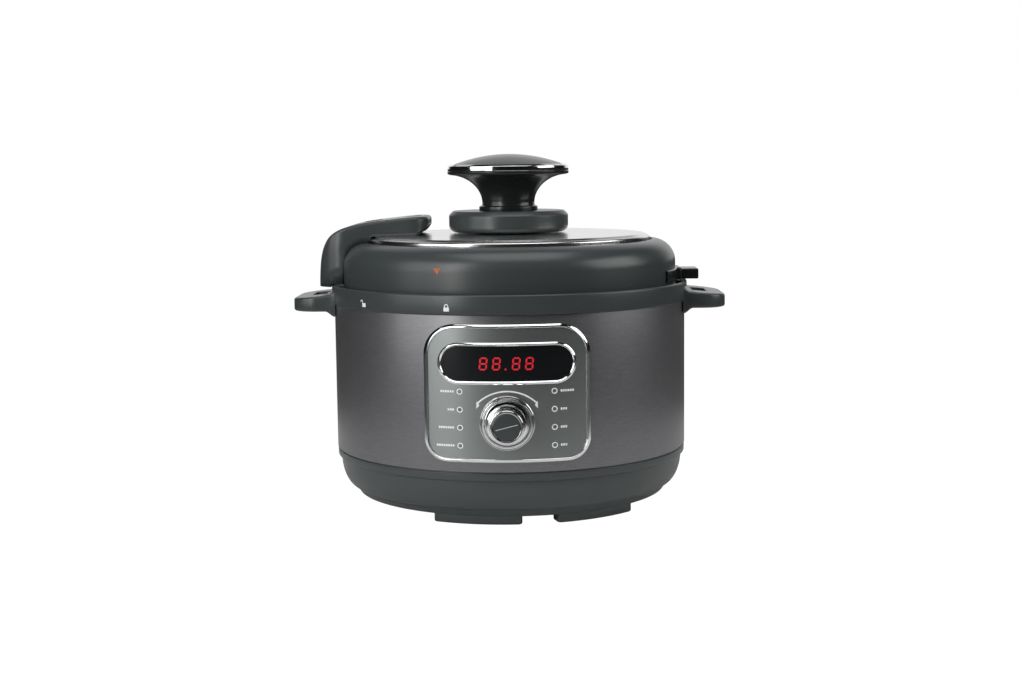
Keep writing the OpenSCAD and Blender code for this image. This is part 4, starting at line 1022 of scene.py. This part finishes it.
def hood_panel():
    """Cover let into the hood's top: the button's well, the vents, the float's hole and a rib beside it"""
    centre = (BUTTON_X, 0)
    outer = {level: ring_at(hood_opening, centre, -level) for level in (0, 0.15, 0.6)}
    floor = high("steam_hood").z - 13.7
    def disc(radius):
        return ring_at(lambda u, v: hypot(u - BUTTON_X, v) - radius, centre, 0)
    def top(by):
        return lambda x, y: hood_height(x) + by
    loops = [raised(outer[0], top(-2)), raised(outer[0], top(-0.5)), raised(outer[0.15], top(-0.15)),
             raised(outer[0.6], top(0))]
    loops += [raised(between(outer[0.6], disc(8.6), k / 8), top(0)) for k in range(1, 9)]
    loops += [raised(disc(8.1), top(-0.2)), raised(disc(7.9), top(-0.7)), raised(disc(7.9), floor + 1.2),
              raised(disc(1.9), floor + 1.2), raised(disc(1.9), floor), raised(disc(9.5), floor),
              raised(disc(9.5), top(-2.2))]
    vents = bmesh.new()
    for i in range(-2, 3):
        soft_block(vents, (BUTTON_X + 27, i * 5 - 1, floor + 4), (BUTTON_X + 40, i * 5 + 1, HOOD_TOP + 4), 0.8, 2)
    pin_low, pin_high = low("float_pin"), high("float_pin")
    pin_x, pin_y = (pin_low.x + pin_high.x) / 2, (pin_low.y + pin_high.y) / 2
    bmesh.ops.create_cone(vents, cap_ends=True, segments=48, radius1=3.4, radius2=3.4, depth=20,
                          matrix=Matrix.Translation((pin_x, pin_y, HOOD_TOP - 4)))
    mesh = carved(lofted(bmesh.new(), loops, closed=True), vents)
    soft_block(mesh, (pin_x - 8, pin_y - 5.4, PLATE_TOP + 0.4), (pin_x + 4, pin_y - 4.4, HOOD_TOP - 1.6), 0.3, 2)
    piece("hood_cover", mesh, "lid", "dark_plastic", ["hood_panel"])


def steam_button():
    """Round button with a stem and a dished face that follows the hood's slope"""
    r, top = 7.7, BUTTON_TOP
    skirt = low("steam_button").z
    outline = rounded([(5.8, top - 6.5, 0.2), (r, top - 6.5, 0.4), (r, top, 0.9), (5.6, top, 0.5),
                       (0, top - 0.7, 0)], 5)
    stem = [(0, skirt), (1.5, skirt), (1.5, top - 4), (5.8, top - 4)]
    mesh = turned(stem + outline, closed=False, count=96)
    bmesh.ops.translate(mesh, vec=(BUTTON_X, 0, 0), verts=mesh.verts)
    for vert in mesh.verts:
        if vert.co.z > top - 2:
            vert.co.z += hood_height(vert.co.x) - top + 0.5
    piece("release_button", mesh, "steam_key", "dark_plastic", ["steam_button"])


def button_spring():
    """Coil under the steam button, built at its rest length on the lid, with a mesh of its own"""
    start, end = low("button_spring"), high("button_spring")
    wire = 0.3
    reach, turns, steps = (end.x - start.x) / 2 - wire, 3, 90
    loops = []
    for i in range(steps + 1):
        angle = 2 * pi * turns * i / steps
        middle = start.z + wire + (end.z - start.z - 2 * wire) * i / steps
        section = [(reach + wire * cos(radians(a)), middle + wire * sin(radians(a))) for a in range(0, 360, 45)]
        loops.append([(r * cos(angle) + BUTTON_X, r * sin(angle), z) for r, z in section])
    mesh = lofted(bmesh.new(), loops, capped=True)
    made = piece("key_spring", mesh, "lid", "pressed_steel", ["button_spring"])
    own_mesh(made)


# ---------------------------------------------------------------- inside

def inner_pot():
    """Spun pot with a rolled rim that steps out at its top"""
    node = high("inner_pot")
    wall, floor, rim = 1.6, low("inner_pot").z, node.z
    outer = rounded([(0, floor, 0), (112, floor, 14), (112, rim - 1.5, 0.8), (node.x, rim - 1.5, 0.5),
                     (node.x, rim, 0.5), (112 - wall, rim, 0.8), (112 - wall, floor + wall, 12.4),
                     (0, floor + wall, 0)], 8)
    piece("cooking_pot", turned(outer, closed=False), "base", "pot_alloy", ["inner_pot"])


def build():
    base_housing()
    foot_pads()
    body_sleeve()
    rim_ring()
    panel_frame()
    panel_fascia()
    display_window()
    display_digits()
    panel_prints()
    dial_ring()
    dial_knob()
    select_button()
    lid_cover()
    lid_plate()
    lid_prints()
    ring_prints()
    lid_fin()
    knob()
    steam_hood()
    hood_panel()
    steam_button()
    button_spring()
    inner_pot()


# ---------------------------------------------------------------- studio

def floor():
    """Floor: pale near the cooker and dark further off, but evenly white to look at"""
    mesh = bmesh.new()
    bmesh.ops.create_grid(mesh, x_segments=2, y_segments=2, size=30)
    data = bpy.data.meshes.new("studio_floor")
    mesh.to_mesh(data)
    mesh.free()
    finish = Finish("studio_floor")
    reach = finish.node("ShaderNodeVectorMath", {"operation": "LENGTH"}, {0: finish.place()}, output="Value")
    away = finish.eased(reach, 0.33, 0.56, 0.0, 1.0)
    finish.feed("Base Color", finish.blend(away, (0.88, 0.88, 0.88, 1), (0.06, 0.06, 0.06, 1)))
    finish.feed("Roughness", 0.9)
    looked_at = finish.node("ShaderNodeLightPath", output="Is Camera Ray")
    white = finish.node("ShaderNodeEmission", None, {"Color": (1, 1, 1, 1), "Strength": 1.08})
    shown = finish.node("ShaderNodeMixShader", None, {1: Signal(finish, finish.shader.outputs[0]), 2: white,
                                                      0: looked_at * 0.94})
    finish.set(finish.tree.nodes["Material Output"].inputs["Surface"], shown)
    data.materials.append(finish.material)
    made = bpy.data.objects.new("studio_floor", data)
    bpy.context.scene.collection.objects.link(made)


def lamp(name, azimuth, elevation, distance, width, height, brightness):
    """A softbox that faces the cooker; azimuth is from the front towards the right"""
    data = bpy.data.lights.new(name, "AREA")
    data.shape, data.size, data.size_y = "RECTANGLE", width, height
    data.energy = brightness * pi * width * height
    made = bpy.data.objects.new(name, data)
    a, e = radians(azimuth), radians(elevation)
    away = Vector((sin(a) * cos(e), -cos(a) * cos(e), sin(e)))
    made.location = Vector((0, 0, 0.15)) + away * distance
    made.rotation_mode = "QUATERNION"
    made.rotation_quaternion = away.to_track_quat("Z", "Y")
    bpy.context.scene.collection.objects.link(made)


def studio():
    """A dark room with a bright wall behind, softboxes at both sides, above and behind, and a white backdrop"""
    floor()
    world = bpy.data.worlds.new("studio")
    world.use_nodes = True
    room = Nodes(world.node_tree)
    way = room.node("ShaderNodeTexCoord", output="Generated")
    behind = room.node("ShaderNodeVectorMath", {"operation": "DOT_PRODUCT"},
                       {0: way, 1: (sin(radians(176)), -cos(radians(176)), 0)}, output="Value")
    wall = room.eased(behind, 0.72, 0.93, 0.0, 1.0)
    up = room.node("ShaderNodeVectorMath", {"operation": "DOT_PRODUCT"},
                   {0: way, 1: (0, 0, 1)}, output="Value")
    below = room.eased(up, 0.3, 0.75, 1.0, 0.6)
    grey = 0.008 + wall * below * 0.92
    lit = room.node("ShaderNodeBackground", None, {"Color": (1, 1, 1, 1), "Strength": grey})
    backdrop = room.node("ShaderNodeBackground", None, {"Color": (1, 1, 1, 1), "Strength": 1.0})
    looked_at = room.node("ShaderNodeLightPath", output="Is Camera Ray")
    shown = room.node("ShaderNodeMixShader", None, {0: looked_at, 1: lit, 2: backdrop})
    room.set(world.node_tree.nodes["World Output"].inputs["Surface"], shown)
    bpy.context.scene.world = world
    lamp("left_softbox", -55, 18, 1.5, 1.0, 1.1, 2.2)
    lamp("left_strip", -35, 18, 1.6, 0.3, 1.3, 5.6)
    lamp("top_softbox", 10, 74, 1.5, 1.3, 1.1, 2.2)
    lamp("right_softbox", 78, 22, 1.6, 1.1, 0.9, 3.0)
    lamp("back_softbox", 180, 48, 1.6, 1.8, 0.7, 0.55)
    bpy.context.scene.view_settings.view_transform = "Standard"


def camera():
    """Slightly above the cooker, a metre and a third in front and a touch to the right"""
    data = bpy.data.cameras.new("camera")
    data.lens = 55.32
    data.sensor_width = 36
    made = bpy.data.objects.new("camera", data)
    azimuth, pitch, roll, distance, height = radians(1.1), 0.1141, -0.0119, 1.3034, 0.27775
    made.location = (distance * sin(azimuth), -distance * cos(azimuth), height)
    aim = Matrix.Rotation(azimuth, 3, "Z") @ Matrix.Rotation(pi / 2 - pitch, 3, "X")
    made.rotation_euler = (aim @ Matrix.Rotation(roll, 3, "Z")).to_euler()
    data.clip_start, data.clip_end = 0.02, 50
    bpy.context.scene.collection.objects.link(made)
    bpy.context.scene.camera = made


camera()
build()
studio()
